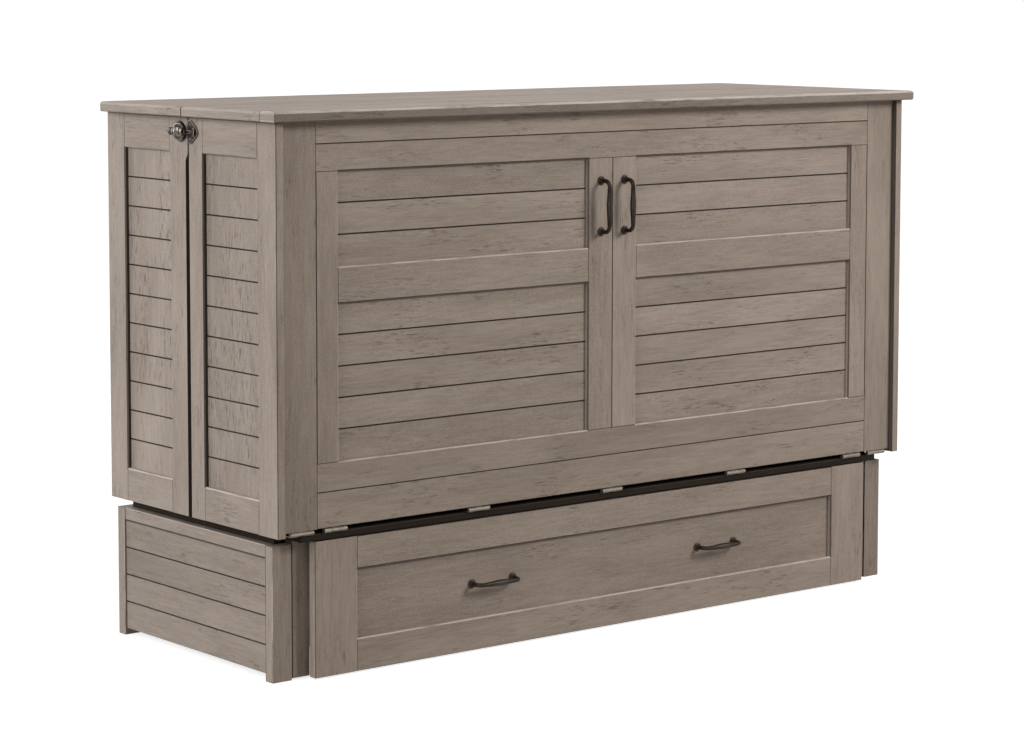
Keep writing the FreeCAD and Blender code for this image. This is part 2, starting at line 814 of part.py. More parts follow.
def fork(x, y, mount_height):
    """Plate and two cheeks under a board, with the axle between them."""
    gap = wheel_width / 2 + fork_clearance
    outer = gap + fork_steel
    half = fork_length / 2
    plate_bottom = mount_height - fork_steel
    plate = box(x - outer, x + outer, y - half, y + half, plate_bottom, mount_height)
    tip = wheel_radius - 1.6 * wheel_bore
    pieces = []
    for x0 in (x - outer, x + gap):
        outline = [Vector(x0, y - half, plate_bottom), Vector(x0, y + half, plate_bottom),
                   Vector(x0, y + 0.3 * half, tip), Vector(x0, y - 0.3 * half, tip)]
        pieces.append(prism(outline, Vector(fork_steel, 0, 0)))
    axle = Part.makeCylinder(wheel_bore, 2 * gap, Vector(x - gap, y, wheel_radius), Vector(1, 0, 0))
    return plate.multiFuse(pieces + [axle]).removeSplitter()


def wheel(x, y):
    """A bored tread."""
    end = Vector(x - wheel_width / 2, y, wheel_radius)
    along = Vector(1, 0, 0)
    bore = plain_bore(wheel_bore + axle_clearance, end, wheel_width, along)
    return Part.makeCylinder(wheel_radius, wheel_width, end, along).cut(bore)


def make_casters():
    carriage_x = (carriage_outer + leg_inner) / 2
    forks = []
    places = {"front": front_edge + carriage_wheel_front, "rear": carriage_rear - carriage_wheel_rear}
    for place, y in places.items():
        forks.append(fork(-carriage_x, y, carriage_board_bottom))
        save("carriage_wheel_" + place + "_left", wheel(-carriage_x, y))
        save("carriage_wheel_" + place + "_right", wheel(carriage_x, y))
    save("carriage_caster_forks", both_sides(forks))
    drawer_x = drawer_half_width - drawer_wheel_inset
    y = front_edge + drawer_wheel_front
    save("drawer_caster_forks", both_sides([fork(-drawer_x, y, drawer_box_bottom)]))
    save("drawer_wheel_left", wheel(-drawer_x, y))
    save("drawer_wheel_right", wheel(drawer_x, y))


# ---- mattress

def mattress_outline(y, inset, z0):
    """Rounded rectangle in the plane of y: it stands on its straight lower edge, and the others pull in."""
    w = mattress_width / 2 - inset
    low = z0 + inset
    high = z0 + section_length - inset
    r = mattress_corner
    s = r * (1 - math.sqrt(0.5))
    d = mattress_draw
    middle = (low + high) / 2
    edges = [Part.LineSegment(Vector(-w + r, y, low), Vector(w - r, y, low)),
             Part.Arc(Vector(w - r, y, low), Vector(w - s, y, low + s), Vector(w, y, low + r)),
             Part.Arc(Vector(w, y, low + r), Vector(w - d, y, middle), Vector(w, y, high - r)),
             Part.Arc(Vector(w, y, high - r), Vector(w - s, y, high - s), Vector(w - r, y, high)),
             Part.Arc(Vector(w - r, y, high), Vector(0, y, high - d), Vector(-w + r, y, high)),
             Part.Arc(Vector(-w + r, y, high), Vector(-w + s, y, high - s), Vector(-w, y, high - r)),
             Part.Arc(Vector(-w, y, high - r), Vector(-w + d, y, middle), Vector(-w, y, low + r)),
             Part.Arc(Vector(-w, y, low + r), Vector(-w + s, y, low + s), Vector(-w + r, y, low))]
    return Part.Wire([edge.toShape() for edge in edges])


def mattress_section(y0, z0):
    """A crowned block: its two faces stand proud of the seams round its edges."""
    wires = []
    for step in range(mattress_step_count + 1):
        share = step / mattress_step_count
        edge = max(0.0, abs(2 * share - 1) - mattress_flat_share) / (1 - mattress_flat_share)
        inset = mattress_crown * (1 - math.sqrt(1 - edge * edge))
        wires.append(mattress_outline(y0 + share * mattress_thickness, inset, z0))
    return Part.makeLoft(wires, True, True)


def make_mattress():
    y = face_back + mattress_gap
    save("mattress_foot", mattress_section(y, floor_top + mattress_lift))
    for name in ("mattress_middle", "mattress_head"):
        y += mattress_thickness + mattress_gap
        save(name, mattress_section(y, floor_top))


def main():
    os.makedirs("parts", exist_ok=True)
    make_tops()
    make_sides()
    make_face()
    make_hinges()
    make_pulls()
    make_latches()
    make_base()
    make_head_floor()
    make_carriage()
    make_runners()
    make_drawer()
    make_casters()
    make_mattress()
    print("carriage travel", round(carriage_travel, 1))
    print("hinge axis", round(hinge_y, 2), round(hinge_z, 2))
    print("latch pivot", round(latch_y, 2), round(latch_z, 2))


main()
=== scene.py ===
import bpy
import bmesh
import json
import math
import random
from mathutils import Matrix, Vector
from mathutils.bvhtree import BVHTree


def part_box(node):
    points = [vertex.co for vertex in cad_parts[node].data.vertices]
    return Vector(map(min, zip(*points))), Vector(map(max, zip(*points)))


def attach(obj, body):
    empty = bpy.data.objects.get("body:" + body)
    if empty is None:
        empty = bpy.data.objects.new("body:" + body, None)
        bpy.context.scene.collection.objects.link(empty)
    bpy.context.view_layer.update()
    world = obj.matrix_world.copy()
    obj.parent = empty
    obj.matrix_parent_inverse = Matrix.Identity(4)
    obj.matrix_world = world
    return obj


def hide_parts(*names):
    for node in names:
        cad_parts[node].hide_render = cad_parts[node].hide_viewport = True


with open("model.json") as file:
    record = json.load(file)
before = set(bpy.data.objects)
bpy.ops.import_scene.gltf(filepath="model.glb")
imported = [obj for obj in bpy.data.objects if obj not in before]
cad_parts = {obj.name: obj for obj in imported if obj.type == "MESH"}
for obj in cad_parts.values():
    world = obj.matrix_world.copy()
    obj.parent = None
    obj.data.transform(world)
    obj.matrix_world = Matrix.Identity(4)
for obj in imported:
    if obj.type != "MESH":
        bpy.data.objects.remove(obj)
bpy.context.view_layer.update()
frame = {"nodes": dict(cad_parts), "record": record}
scene = bpy.context.scene
nodes = frame["nodes"]
slotOf = {part["node"]: part["material_slot"] for part in frame["record"]["subparts"]}
bodies = frame["record"]["behaviour"]["bodies"]
bodyOf = {member: body for body, members in bodies.items() for member in members}
axisOf = {"x": 0, "y": 1, "z": 2}
unit = (Vector((1, 0, 0)), Vector((0, 1, 0)), Vector((0, 0, 1)))
print("frame loaded,", len(nodes), "nodes")


def placed(name, data):
    made = bpy.data.objects.new(name, data)
    scene.collection.objects.link(made)
    return made


def meshOf(piece, name):
    mesh = bpy.data.meshes.new(name)
    piece.to_mesh(mesh)
    piece.free()
    return mesh


# shader maths on node sockets, so that a finish reads as plain expressions
class Sock:
    def __init__(self, finish, socket):
        self.finish = finish
        self.socket = socket

    def __add__(self, other):
        return self.finish.maths("ADD", self, other)

    def __sub__(self, other):
        return self.finish.maths("SUBTRACT", self, other)

    def __rsub__(self, other):
        return self.finish.maths("SUBTRACT", other, self)

    def __mul__(self, other):
        return self.finish.maths("MULTIPLY", self, other)

    __radd__ = __add__
    __rmul__ = __mul__


def rgba(colour):
    return colour if isinstance(colour, Sock) else (*colour, 1.0)


class Finish:
    def __init__(self, owner):
        owner.use_nodes = True
        self.owner = owner
        self.tree = owner.node_tree
        self.tree.nodes.clear()

    # any node: its settings first, then the values or links of its sockets
    def node(self, kind, settings=None, inputs=None, output=0):
        made = self.tree.nodes.new(kind)
        for name, value in (settings or {}).items():
            setattr(made, name, value)
        for key, value in (inputs or {}).items():
            if isinstance(value, Sock):
                self.tree.links.new(value.socket, made.inputs[key])
            else:
                made.inputs[key].default_value = value
        return Sock(self, made.outputs[output]) if made.outputs else None

    def place(self):
        return self.node("ShaderNodeTexCoord", None, None, "Object")

    def attribute(self, name, output="Fac"):
        return self.node("ShaderNodeAttribute", {"attribute_name": name}, None, output)

    def maths(self, operation, *values):
        return self.node("ShaderNodeMath", {"operation": operation}, dict(enumerate(values)))

    def vector(self, operation, first, second, output=0):
        inputs = {0: first, 3 if operation == "SCALE" else 1: second}
        return self.node("ShaderNodeVectorMath", {"operation": operation}, inputs, output)

    def dot(self, first, second):
        return self.vector("DOT_PRODUCT", first, second, 1)

    def mix(self, factor, first, second, blend="MIX"):
        ends = {0: factor, 6: rgba(first), 7: rgba(second)}
        return self.node("ShaderNodeMix", {"data_type": "RGBA", "blend_type": blend}, ends, 2)

    def noise(self, where, size, detail, roughness, distortion=0.0):
        inputs = {"Vector": where, "Scale": size, "Detail": detail, "Roughness": roughness,
                  "Distortion": distortion}
        return self.node("ShaderNodeTexNoise", None, inputs)

    def cells(self, where, size, output=0):
        return self.node("ShaderNodeTexVoronoi", None, {"Vector": where, "Scale": size}, output)

    def step(self, value, low, high):
        inputs = {"Value": value, "From Min": low, "From Max": high}
        return self.node("ShaderNodeMapRange", {"interpolation_type": "SMOOTHSTEP"}, inputs)

    def bump(self, height, strength, distance):
        inputs = {"Height": height, "Strength": strength, "Distance": distance}
        return self.node("ShaderNodeBump", None, inputs)

    def surface(self, **inputs):
        sockets = {name.replace("_", " "): rgba(value) if name == "Base_Color" else value
                   for name, value in inputs.items()}
        shader = self.node("ShaderNodeBsdfPrincipled", None, sockets)
        self.node("ShaderNodeOutputMaterial", None, {"Surface": shader})
        return self.owner


# boards: which way the grain of each piece of wood runs, and where a node divides into boards
boards = {
    "lowerPlanks": 5, "upperPlanks": 3, "basePlanks": 4, "slats": 8, "slatWidth": 0.048, "upperRail": 0.052,
    "lowerRail": 0.068, "rearBoard": 0.03, "doorSplit": 0.3, "boxSplit": 0.6, "cutLimit": 40}
sideNames = [half + "_" + hand + "_side_" for half in ("front", "rear") for hand in ("left", "right")]


def planks(low, high, count):
    return [low + (high - low) * row / count for row in range(1, count)]


def slatStarts():
    low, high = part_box("carriage_slats")
    pitch = (high.y - low.y - boards["slatWidth"]) / (boards["slats"] - 1)
    return [low.y + pitch * row for row in range(boards["slats"])]


def boardLayout():
    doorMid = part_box("false_door_mid_rails")
    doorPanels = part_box("false_door_panels")
    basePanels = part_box("base_side_panels")
    panelCuts = planks(doorPanels[0].z, doorMid[0].z, boards["lowerPlanks"]) + [doorMid[0].z]
    panelCuts += planks(doorMid[1].z, doorPanels[1].z, boards["upperPlanks"])
    baseCuts = planks(basePanels[0].z, basePanels[1].z, boards["basePlanks"])
    return {
        **{side + "panel": ("z", {}) for side in sideNames},
        "front_outer_stiles": ("z", {"x": [0]}),
        "false_door_stiles": ("z", {"x": [-boards["doorSplit"], 0, boards["doorSplit"]]}),
        "false_door_mid_rails": ("x", {"x": [0]}),
        "false_door_panels": ("x", {"x": [0], "z": panelCuts}),
        "front_upper_rails": ("x", {"z": [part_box("front_upper_rails")[0].z + boards["upperRail"]]}),
        "front_lower_rails": ("x", {"z": [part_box("front_lower_rails")[0].z + boards["lowerRail"]]}),
        "base_posts": ("z", {"x": [0], "y": [0]}),
        "base_side_panels": ("y", {"x": [0], "z": baseCuts}),
        "base_top_rails": ("y", {"x": [0]}),
        "base_bearers": ("y", {"x": [0]}),
        "carriage_legs": ("z", {"x": [0]}),
        "carriage_sides": ("y", {"x": [0]}),
        "carriage_rear_and_centre": ("x", {"y": [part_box("carriage_slats")[1].y - boards["rearBoard"]]}),
        "carriage_slats": ("x", {"y": [start + boards["slatWidth"] for start in slatStarts()[:-1]]}),
        "drawer_box": ("y", {"x": [-boards["boxSplit"], boards["boxSplit"]]})}


# frames of two stiles and two rails: the panel and the axis from stile to stile
framePanels = {side + "frame": (side + "panel", "y") for side in sideNames}
framePanels["drawer_front_frame"] = ("drawer_front_panel", "x")


# the grain's axis at a place in a node, and the number of the board there
def boardAt(name, centre, layout):
    if name in framePanels:
        panel, across = framePanels[name]
        low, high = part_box(panel)
        side = axisOf[across]
        if centre[side] < low[side]:
            return 2, 0
        if centre[side] > high[side]:
            return 2, 1
        return side, 2 if centre.z < (low.z + high.z) / 2 else 3
    if name not in layout:
        low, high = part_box(name)
        spans = list(high - low)
        return spans.index(max(spans)), 0
    grain, cuts = layout[name]
    number = 0
    for axis, places in cuts.items():
        passed = sum(centre[axisOf[axis]] > place for place in places)
        number = number * boards["cutLimit"] + passed
    return axisOf[grain], number


woodSlots = ("stained_wood", "plywood", "slat_wood", "backing_board")
woodNodes = sorted(name for name in nodes if slotOf[name] in woodSlots)


def woodTree():
    points, triangles = [], []
    for name in woodNodes:
        mesh = nodes[name].data
        start = len(points)
        points.extend(vertex.co.copy() for vertex in mesh.vertices)
        triangles.extend([start + corner for corner in face.vertices] for face in mesh.polygons)
    return BVHTree.FromPolygons(points, triangles)


# how faces are told apart: lengths of rays, shares of a normal, and the painted shade given to some
marking = {
    "joint": 0.0035, "gap": 0.012, "lift": 0.0001, "near": 0.0005, "seed": 11, "flat": 0.985, "square": 0.9,
    "half": 0.5, "slant": 0.3, "lean": 0.25, "noseShade": -0.53, "underShade": -0.7, "cornerShade": -0.8,
    "sideFrames": ("front_left_side_frame", "front_right_side_frame"),
    "roundedPosts": ("front_outer_stiles", "base_posts", "carriage_legs")}


# this mark is 1 on an open arris or bevel, for rubbed wear and a painted highlight, and -1 in a joint or a
# plank line, for glaze, and on a face across a narrow gap, for painted shade
def wearAndPaintedLightAt(tree, centre, normal):
    start = centre + normal * marking["lift"]
    if max(abs(part) for part in normal) >= marking["flat"]:
        # a flat face with another part close in front of it is painted dark as shade
        return -1.0 if tree.ray_cast(start, normal, marking["gap"])[0] else 0.0
    for axis in range(3):
        if abs(normal[axis]) > marking["lean"]:
            side = unit[axis] * math.copysign(1, normal[axis])
            if tree.ray_cast(start, side, marking["joint"])[0]:
                return -1.0
    # an open arris is lightened: rubbed wear and a painted highlight
    return 1.0


# the inner edges that stand beside the side panels, painted dark as shade
def isReveal(name, centre, normal):
    panel, across = framePanels.get(name, (None, None))
    if across != "y" or abs(normal.y) < marking["square"]:
        return False
    low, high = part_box(panel)
    near = marking["near"]
    return low.y - near < centre.y < high.y + near and low.z < centre.z < high.z


def faceWearAndPaintedLight(tree, name, face):
    normal, slant = face.normal, marking["slant"]
    wearAndPaintedLight = wearAndPaintedLightAt(tree, face.center, normal)
    # the reveals beside the side panels are painted dark as shade
    if isReveal(name, face.center, normal):
        return -1.0
    # the nosing's front face is painted darker as shade
    if name == "front_top_nosing" and normal.y < -slant and normal.z < slant:
        return marking["noseShade"]
    # the side frames' front corner bevel is painted dark as shade
    if name in marking["sideFrames"] and normal.y < -slant and abs(normal.x) > slant:
        return marking["cornerShade"]
    # bevels that face down or left on the front are painted dark as shade
    under = normal.y < -slant and min(normal.x, normal.z) < -marking["lean"]
    if wearAndPaintedLight > 0 and under and name not in marking["roundedPosts"]:
        return marking["underShade"]
    return wearAndPaintedLight


def markBoards():
    layout = boardLayout()
    tree = woodTree()
    chance = random.Random(marking["seed"])
    for name in woodNodes:
        mesh = nodes[name].data
        low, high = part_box(name)
        whole = high - low
        seeds, extents, faces = {}, {}, []
        for face in mesh.polygons:
            grain, number = boardAt(name, face.center, layout)
            if abs(face.normal[grain]) > marking["slant"]:  # ends are edged with long grain
                grain = max((axis for axis in range(3) if axis != grain), key=lambda axis: whole[axis])
            corners = [mesh.vertices[corner].co for corner in face.vertices]
            if number not in seeds:
                seeds[number] = chance.random()
                extents[number] = (corners[0], corners[0])
            for corner in corners:
                first, last = extents[number]
                extents[number] = (Vector(map(min, first, corner)), Vector(map(max, last, corner)))
            faces.append((grain, number, faceWearAndPaintedLight(tree, name, face), face.normal.copy()))
        marks = {"grain": [], "thin": [], "board": [], "wearAndPaintedLight": [], "edge": []}
        for grain, number, wearAndPaintedLight, normal in faces:
            spans = list(extents[number][1] - extents[number][0])
            thin = spans.index(min(spans))
            marks["grain"].extend(unit[grain])
            marks["thin"].extend(unit[thin])
            marks["board"].append(seeds[number])
            marks["wearAndPaintedLight"].append(wearAndPaintedLight)
            marks["edge"].append(0.0 if abs(normal[thin]) > marking["half"] else 1.0)
        for mark, values in marks.items():
            vector = mark in ("grain", "thin")
            mesh.attributes.new(mark, "FLOAT_VECTOR" if vector else "FLOAT", "FACE")
            mesh.attributes[mark].data.foreach_set("vector" if vector else "value", values)
    print("boards marked on", len(woodNodes), "wooden nodes")


markBoards()

# wood finishes; a seam is a dark line at a place on an axis, dark to one distance and gone at the next
# the glaze colour darkens joints as glaze, and gaps, reveals and bevels as painted shade
stainedWood = {
    "light": (0.418, 0.346, 0.291), "dark": (0.252, 0.201, 0.162), "pore": (0.09, 0.066, 0.05),
    "glazeAndShade": (0.026, 0.018, 0.013), "rubbedAndHighlight": (0.6, 0.53, 0.46), "boardShift": 0.12,
    "streaks": (150, 15), "pores": (260, 36), "poreDepth": 0.5, "patch": 0.49, "gloss": 0.3,
    "glazeAndShadeDepth": 0.97, "lighten": 0.85, "roughness": 0.56, "bump": 0.5, "plies": 0.0, "rings": 0.0}
sideWood = {**stainedWood, "patch": 0.43, "poreDepth": 0.6}
# a darker copy of the stain: the darker tone of stiles and rails, and painted shade on the lower parts
deeperWood = {**stainedWood, "light": (0.388, 0.318, 0.264), "dark": (0.231, 0.183, 0.147)}
# the slab's arrises are lightened less: weaker rubbed wear and painted highlight
slabWood = {**stainedWood, "lighten": 0.22}
topWood = {**slabWood, "seams": [{"y": (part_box("front_top")[0].y, 0.0007, 0.0014)}]}
# a painted highlight along the nosing's arris, and its painted shade ramped lighter towards the right end
noseWood = {**topWood, "lighten": 0.75, "rubbedAndHighlight": (0.7, 0.62, 0.545), "paintedShadeRamp": (0.82, -0.25)}
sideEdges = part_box("front_right_side_frame")
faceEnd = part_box("front_outer_stiles")[1].x
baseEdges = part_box("base_side_panels")
# painted shade: a dark line under the slab, and a dark strip in the recess beside the outer stile
frameWood = {**stainedWood, "seams": [
    {"z": (sideEdges[1].z - 0.0006, 0.0012, 0.0024)},
    {"x": (faceEnd, 0.0006, 0.0012), "y": (sideEdges[0].y + 0.0065, 0.0055, 0.0068)}]}
# the base panels painted darker as shade, with dark lines of painted shade under the top rail and by the
# posts
basePlankWood = {
    **deeperWood, "light": (0.357, 0.293, 0.243), "dark": (0.2125, 0.168, 0.135), "seams": [
        {"z": (baseEdges[1].z, 0.0019, 0.003)}, *({"y": (edge.y, 0.0026, 0.004)} for edge in baseEdges)]}
# a dark line of painted shade on the post's side, where the panel meets it
postWood = {**deeperWood, "seams": [{"y": (baseEdges[0].y, 0.0024, 0.0036)}]}
# near black: painted shade for the hinge rail and bearers seen in the gap under the cabinet
shadedWood = {
    **stainedWood, "light": (0.034, 0.026, 0.02), "dark": (0.022, 0.016, 0.012), "gloss": 0.1,
    "pore": (0.012, 0.009, 0.007), "rubbedAndHighlight": (0.06, 0.048, 0.039), "roughness": 0.86}
# dark brown: painted shade for the head floor seen in the gap under the cabinet
darkStain = {
    **stainedWood, "light": (0.105, 0.083, 0.067), "dark": (0.072, 0.055, 0.043), "gloss": 0.2,
    "pore": (0.03, 0.022, 0.017), "rubbedAndHighlight": (0.16, 0.13, 0.106), "roughness": 0.7}
plywood = {
    "light": (0.66, 0.53, 0.37), "dark": (0.52, 0.39, 0.25), "pore": (0.36, 0.25, 0.15),
    "glazeAndShade": (0.2, 0.14, 0.09), "rubbedAndHighlight": (0.7, 0.58, 0.43), "boardShift": 0.08,
    "streaks": (60, 2.4), "pores": (500, 40), "poreDepth": 0.35,
    "patch": 0.45, "gloss": 0.38, "glazeAndShadeDepth": 0.35, "lighten": 0.3, "roughness": 0.5, "bump": 0.15,
    "plies": 0.55, "rings": 0.35}
slatWood = {
    **plywood, "light": (0.72, 0.58, 0.39), "dark": (0.55, 0.38, 0.2), "pore": (0.4, 0.27, 0.15),
    "glazeAndShade": (0.3, 0.21, 0.13), "rubbedAndHighlight": (0.76, 0.64, 0.47), "boardShift": 0.14,
    "streaks": (90, 2.0), "pores": (300, 14), "poreDepth": 0.3,
    "glazeAndShadeDepth": 0.3, "roughness": 0.56, "bump": 0.2, "plies": 0.0, "rings": 0.6}
backingBoard = {
    **plywood, "light": (0.37, 0.31, 0.255), "dark": (0.28, 0.23, 0.185), "pore": (0.16, 0.125, 0.1),
    "glazeAndShade": (0.08, 0.06, 0.05), "rubbedAndHighlight": (0.42, 0.36, 0.3), "boardShift": 0.05,
    "streaks": (45, 9.0), "pores": (700, 420), "poreDepth": 0.5,
    "glazeAndShadeDepth": 0.6, "roughness": 0.66, "bump": 0.25, "plies": 0.0, "rings": 0.0}

# noise in every wood: scale across and along the grain, detail, roughness and distortion
grainNoise = {
    "cloud": (9, 2.2, 2, 0.5, 0.8), "figure": (26, 1.5, 3, 0.55, 0.9), "lines": (520, 24, 3, 0.6, 0.0),
    "speckle": (560, 330, 3, 0.75, 0.0), "ticks": (760, 70, 2, 0.5, 0.0), "patches": (24, 6, 4, 0.65, 0.5)}
# the share of each noise in the tone, and where each mask begins and ends
toneShares = {"streaks": 0.18, "lines": 0.16, "cloud": 0.22, "figure": 0.1, "speckle": 0.34}
woodMasks = {
    "tone": (0.37, 0.63), "rings": (0.1, 0.95), "plies": (-0.2, 0.3), "pores": (0.53, 0.66),
    "porePatch": (0.0, 0.17), "ticks": (0.57, 0.69), "tickPatch": (-0.08, 0.14), "wearAndPaintedLight": (0.2, 0.9),
    "rubbedAndHighlight": (0.28, 0.56)}
woodScale = {
    "boardStep": (17.0, 29.0, 41.0), "ringWaves": 70.0, "plyWaves": 2600.0, "tickDepth": 0.6,
    "seamDepth": 0.8, "bumpDepth": 0.0012}


def makeWood(name, look):
    finish = Finish(bpy.data.materials.new(name))
    place = finish.place()
    grain = finish.attribute("grain", "Vector")
    board = finish.attribute("board")
    wearAndPaintedLight = finish.attribute("wearAndPaintedLight")
    run = finish.dot(place, grain)
    shift = finish.vector("SCALE", woodScale["boardStep"], board)

    # space squeezed across the grain, so that noise runs in streaks along each board
    def withGrain(across, length):
        flat = finish.vector("SCALE", place, across)
        back = finish.vector("SCALE", grain, run * (length - across))
        return finish.vector("ADD", finish.vector("ADD", flat, back), shift)

    def mask(value, part, start=0.0):
        low, high = woodMasks[part]
        return finish.step(value, start + low, start + high)

    layers = {
        **grainNoise, "streaks": (*look["streaks"], 4, 0.62, 0.0), "pores": (*look["pores"], 2, 0.5, 0.0)}
    noise = {layer: finish.noise(withGrain(across, length), 1, *rest)
             for layer, (across, length, *rest) in layers.items()}
    tone = sum(noise[layer] * share for layer, share in toneShares.items())
    colour = finish.mix(mask(tone, "tone"), look["dark"], look["light"])
    if look["rings"]:
        rings = finish.maths("SINE", noise["figure"] * woodScale["ringWaves"])
        colour = finish.mix(mask(rings, "rings") * look["rings"], colour, look["dark"])
    if look["plies"]:
        depth = finish.dot(place, finish.attribute("thin", "Vector"))
        ply = finish.maths("SINE", depth * woodScale["plyWaves"])
        stripes = mask(ply, "plies") * finish.attribute("edge")
        colour = finish.mix(stripes * look["plies"], colour, look["pore"])
    pores = mask(noise["pores"], "pores") * mask(noise["patches"], "porePatch", look["patch"])
    ticks = mask(noise["ticks"], "ticks") * mask(noise["patches"], "tickPatch", look["patch"])
    marks = pores * look["poreDepth"] + ticks * (look["poreDepth"] * woodScale["tickDepth"])
    colour = finish.mix(marks, colour, look["pore"])
    level = board * look["boardShift"] + (1.0 - look["boardShift"] / 2)
    colour = finish.mix(1.0, colour, level, "MULTIPLY")
    # glaze in joints, and painted shade in gaps, reveals, lower bevels, the nosing's face and the front
    # corners
    glazeAndPaintedShade = mask(0.0 - wearAndPaintedLight, "wearAndPaintedLight") * look["glazeAndShadeDepth"]
    # the nosing's painted shade is stronger at the left end and weaker at the right
    if "paintedShadeRamp" in look:
        start, slope = look["paintedShadeRamp"]
        glazeAndPaintedShade = glazeAndPaintedShade * (finish.dot(place, unit[0]) * slope + start)
    # arrises lightened: rubbed wear and a painted highlight
    rubbedAndHighlight = mask(wearAndPaintedLight, "wearAndPaintedLight") * mask(noise["streaks"], "rubbedAndHighlight") * look["lighten"]
    colour = finish.mix(glazeAndPaintedShade, colour, look["glazeAndShade"])
    colour = finish.mix(rubbedAndHighlight, colour, look["rubbedAndHighlight"])
    # seams paint dark lines: glaze in the top's joint, painted shade along recesses and under the slab
    for seam in look.get("seams", []):
        shade = woodScale["seamDepth"]
        for axis, (middle, inner, outer) in seam.items():
            along = finish.dot(place, unit[axisOf[axis]])
            if axis == "x":  # the left side mirrors the right
                along = finish.maths("ABSOLUTE", along)
            off = finish.maths("ABSOLUTE", along - middle)
            shade = (1.0 - finish.step(off, inner, outer)) * shade
        colour = finish.mix(shade, colour, look["glazeAndShade"])
    height = noise["lines"] * 0.5 + noise["streaks"] * 0.35 - marks * 0.9
    rough = tone * -0.22 + marks * 0.18 + (look["roughness"] + 0.12)
    bump = finish.bump(height, look["bump"], woodScale["bumpDepth"])
    return finish.surface(Base_Color=colour, Roughness=rough, Specular_IOR_Level=look["gloss"], Normal=bump)


# metal, plastic and cloth; the made pieces carry a lightening attribute on their high spots: rubbed wear, and
# on bronze a painted highlight
darkBronze = {
    "metal": (0.015, 0.0105, 0.008), "brown": (0.024, 0.0165, 0.0125), "rubbedAndHighlight": (0.2, 0.16, 0.125),
    "rubAndHighlightShare": 0.35, "roughness": 0.42, "metallic": 0.6, "gloss": 0.22}
# the latches' bronze, lighter and greyer on its high spots: rubbed wear and a painted reflection
rubbedAndHighlightBronze = {
    **darkBronze, "rubbedAndHighlight": (0.36, 0.305, 0.255), "rubAndHighlightShare": 0.85, "roughness": 0.36, "metallic": 0.85,
    "gloss": 0.4}


def makeBronze(name, look):
    finish = Finish(bpy.data.materials.new(name))
    place = finish.place()
    lighten = finish.attribute("lighten")
    cloud = finish.noise(place, 60, 3, 0.6)
    grit = finish.noise(place, 900, 3, 0.6)
    scuff = finish.noise(place, 320, 4, 0.65)
    colour = finish.mix(finish.step(cloud, 0.4, 0.65), look["metal"], look["brown"])
    # high spots lightened: rubbed wear and a painted highlight
    lightenShare = lighten * finish.step(scuff, 0.3, 0.62) * look["rubAndHighlightShare"]
    colour = finish.mix(lightenShare, colour, look["rubbedAndHighlight"])
    rough = cloud * 0.25 + grit * 0.12 - lightenShare * 0.15 + (look["roughness"] - 0.16)
    bump = finish.bump(grit * 0.6 + cloud * 0.4, 0.18, 0.0004)
    return finish.surface(
        Base_Color=colour, Metallic=look["metallic"], Roughness=rough, Specular_IOR_Level=look["gloss"],
        Normal=bump)


zincSteel = {
    "bright": (0.66, 0.65, 0.62), "dull": (0.45, 0.45, 0.44), "stain": (0.3, 0.28, 0.25),
    "roughness": 0.34}
hingeNickel = {
    "bright": (0.205, 0.18, 0.155), "dull": (0.13, 0.11, 0.092), "stain": (0.05, 0.04, 0.032),
    "roughness": 0.48}


def makeZinc(name, look):
    finish = Finish(bpy.data.materials.new(name))
    place = finish.place()
    drawn = finish.noise(finish.vector("MULTIPLY", place, (20, 900, 900)), 1, 2, 0.5)
    cell = finish.node("ShaderNodeSeparateColor", None, {0: finish.cells(place, 260.0, "Color")})
    cloud = finish.noise(place, 24, 4, 0.6)
    tone = cell * 0.35 + drawn * 0.35 + cloud * 0.3
    colour = finish.mix(finish.step(tone, 0.25, 0.75), look["dull"], look["bright"])
    colour = finish.mix(finish.step(cloud, 0.6, 0.78) * 0.5, colour, look["stain"])
    rough = cell * 0.12 + drawn * 0.16 + cloud * 0.12 + (look["roughness"] - 0.18)
    bump = finish.bump(drawn * 0.7 + cell * 0.3, 0.1, 0.0003)
    return finish.surface(Base_Color=colour, Metallic=1.0, Roughness=rough, Normal=bump)


blackWheel = {"plastic": (0.022, 0.022, 0.024), "dust": (0.16, 0.15, 0.135), "roughness": 0.5}


def makeWheelPlastic(name, look):
    finish = Finish(bpy.data.materials.new(name))
    place = finish.place()
    lighten = finish.attribute("lighten")
    grit = finish.noise(place, 1100, 2, 0.5)
    dust = finish.noise(place, 130, 4, 0.65)
    lightenShare = lighten * finish.step(dust, 0.42, 0.68) * 0.55 + finish.step(dust, 0.62, 0.8) * 0.25
    colour = finish.mix(lightenShare, look["plastic"], look["dust"])
    rough = grit * 0.15 + lightenShare * 0.3 + (look["roughness"] - 0.07)
    bump = finish.bump(grit, 0.2, 0.0003)
    return finish.surface(Base_Color=colour, Roughness=rough, Specular_IOR_Level=0.45, Normal=bump)


mattressCover = {
    "knit": (0.8, 0.79, 0.755), "groove": (0.62, 0.61, 0.58), "band": (0.36, 0.36, 0.355),
    "bandDark": (0.22, 0.22, 0.22), "quilt": 46.0, "roughness": 0.82}


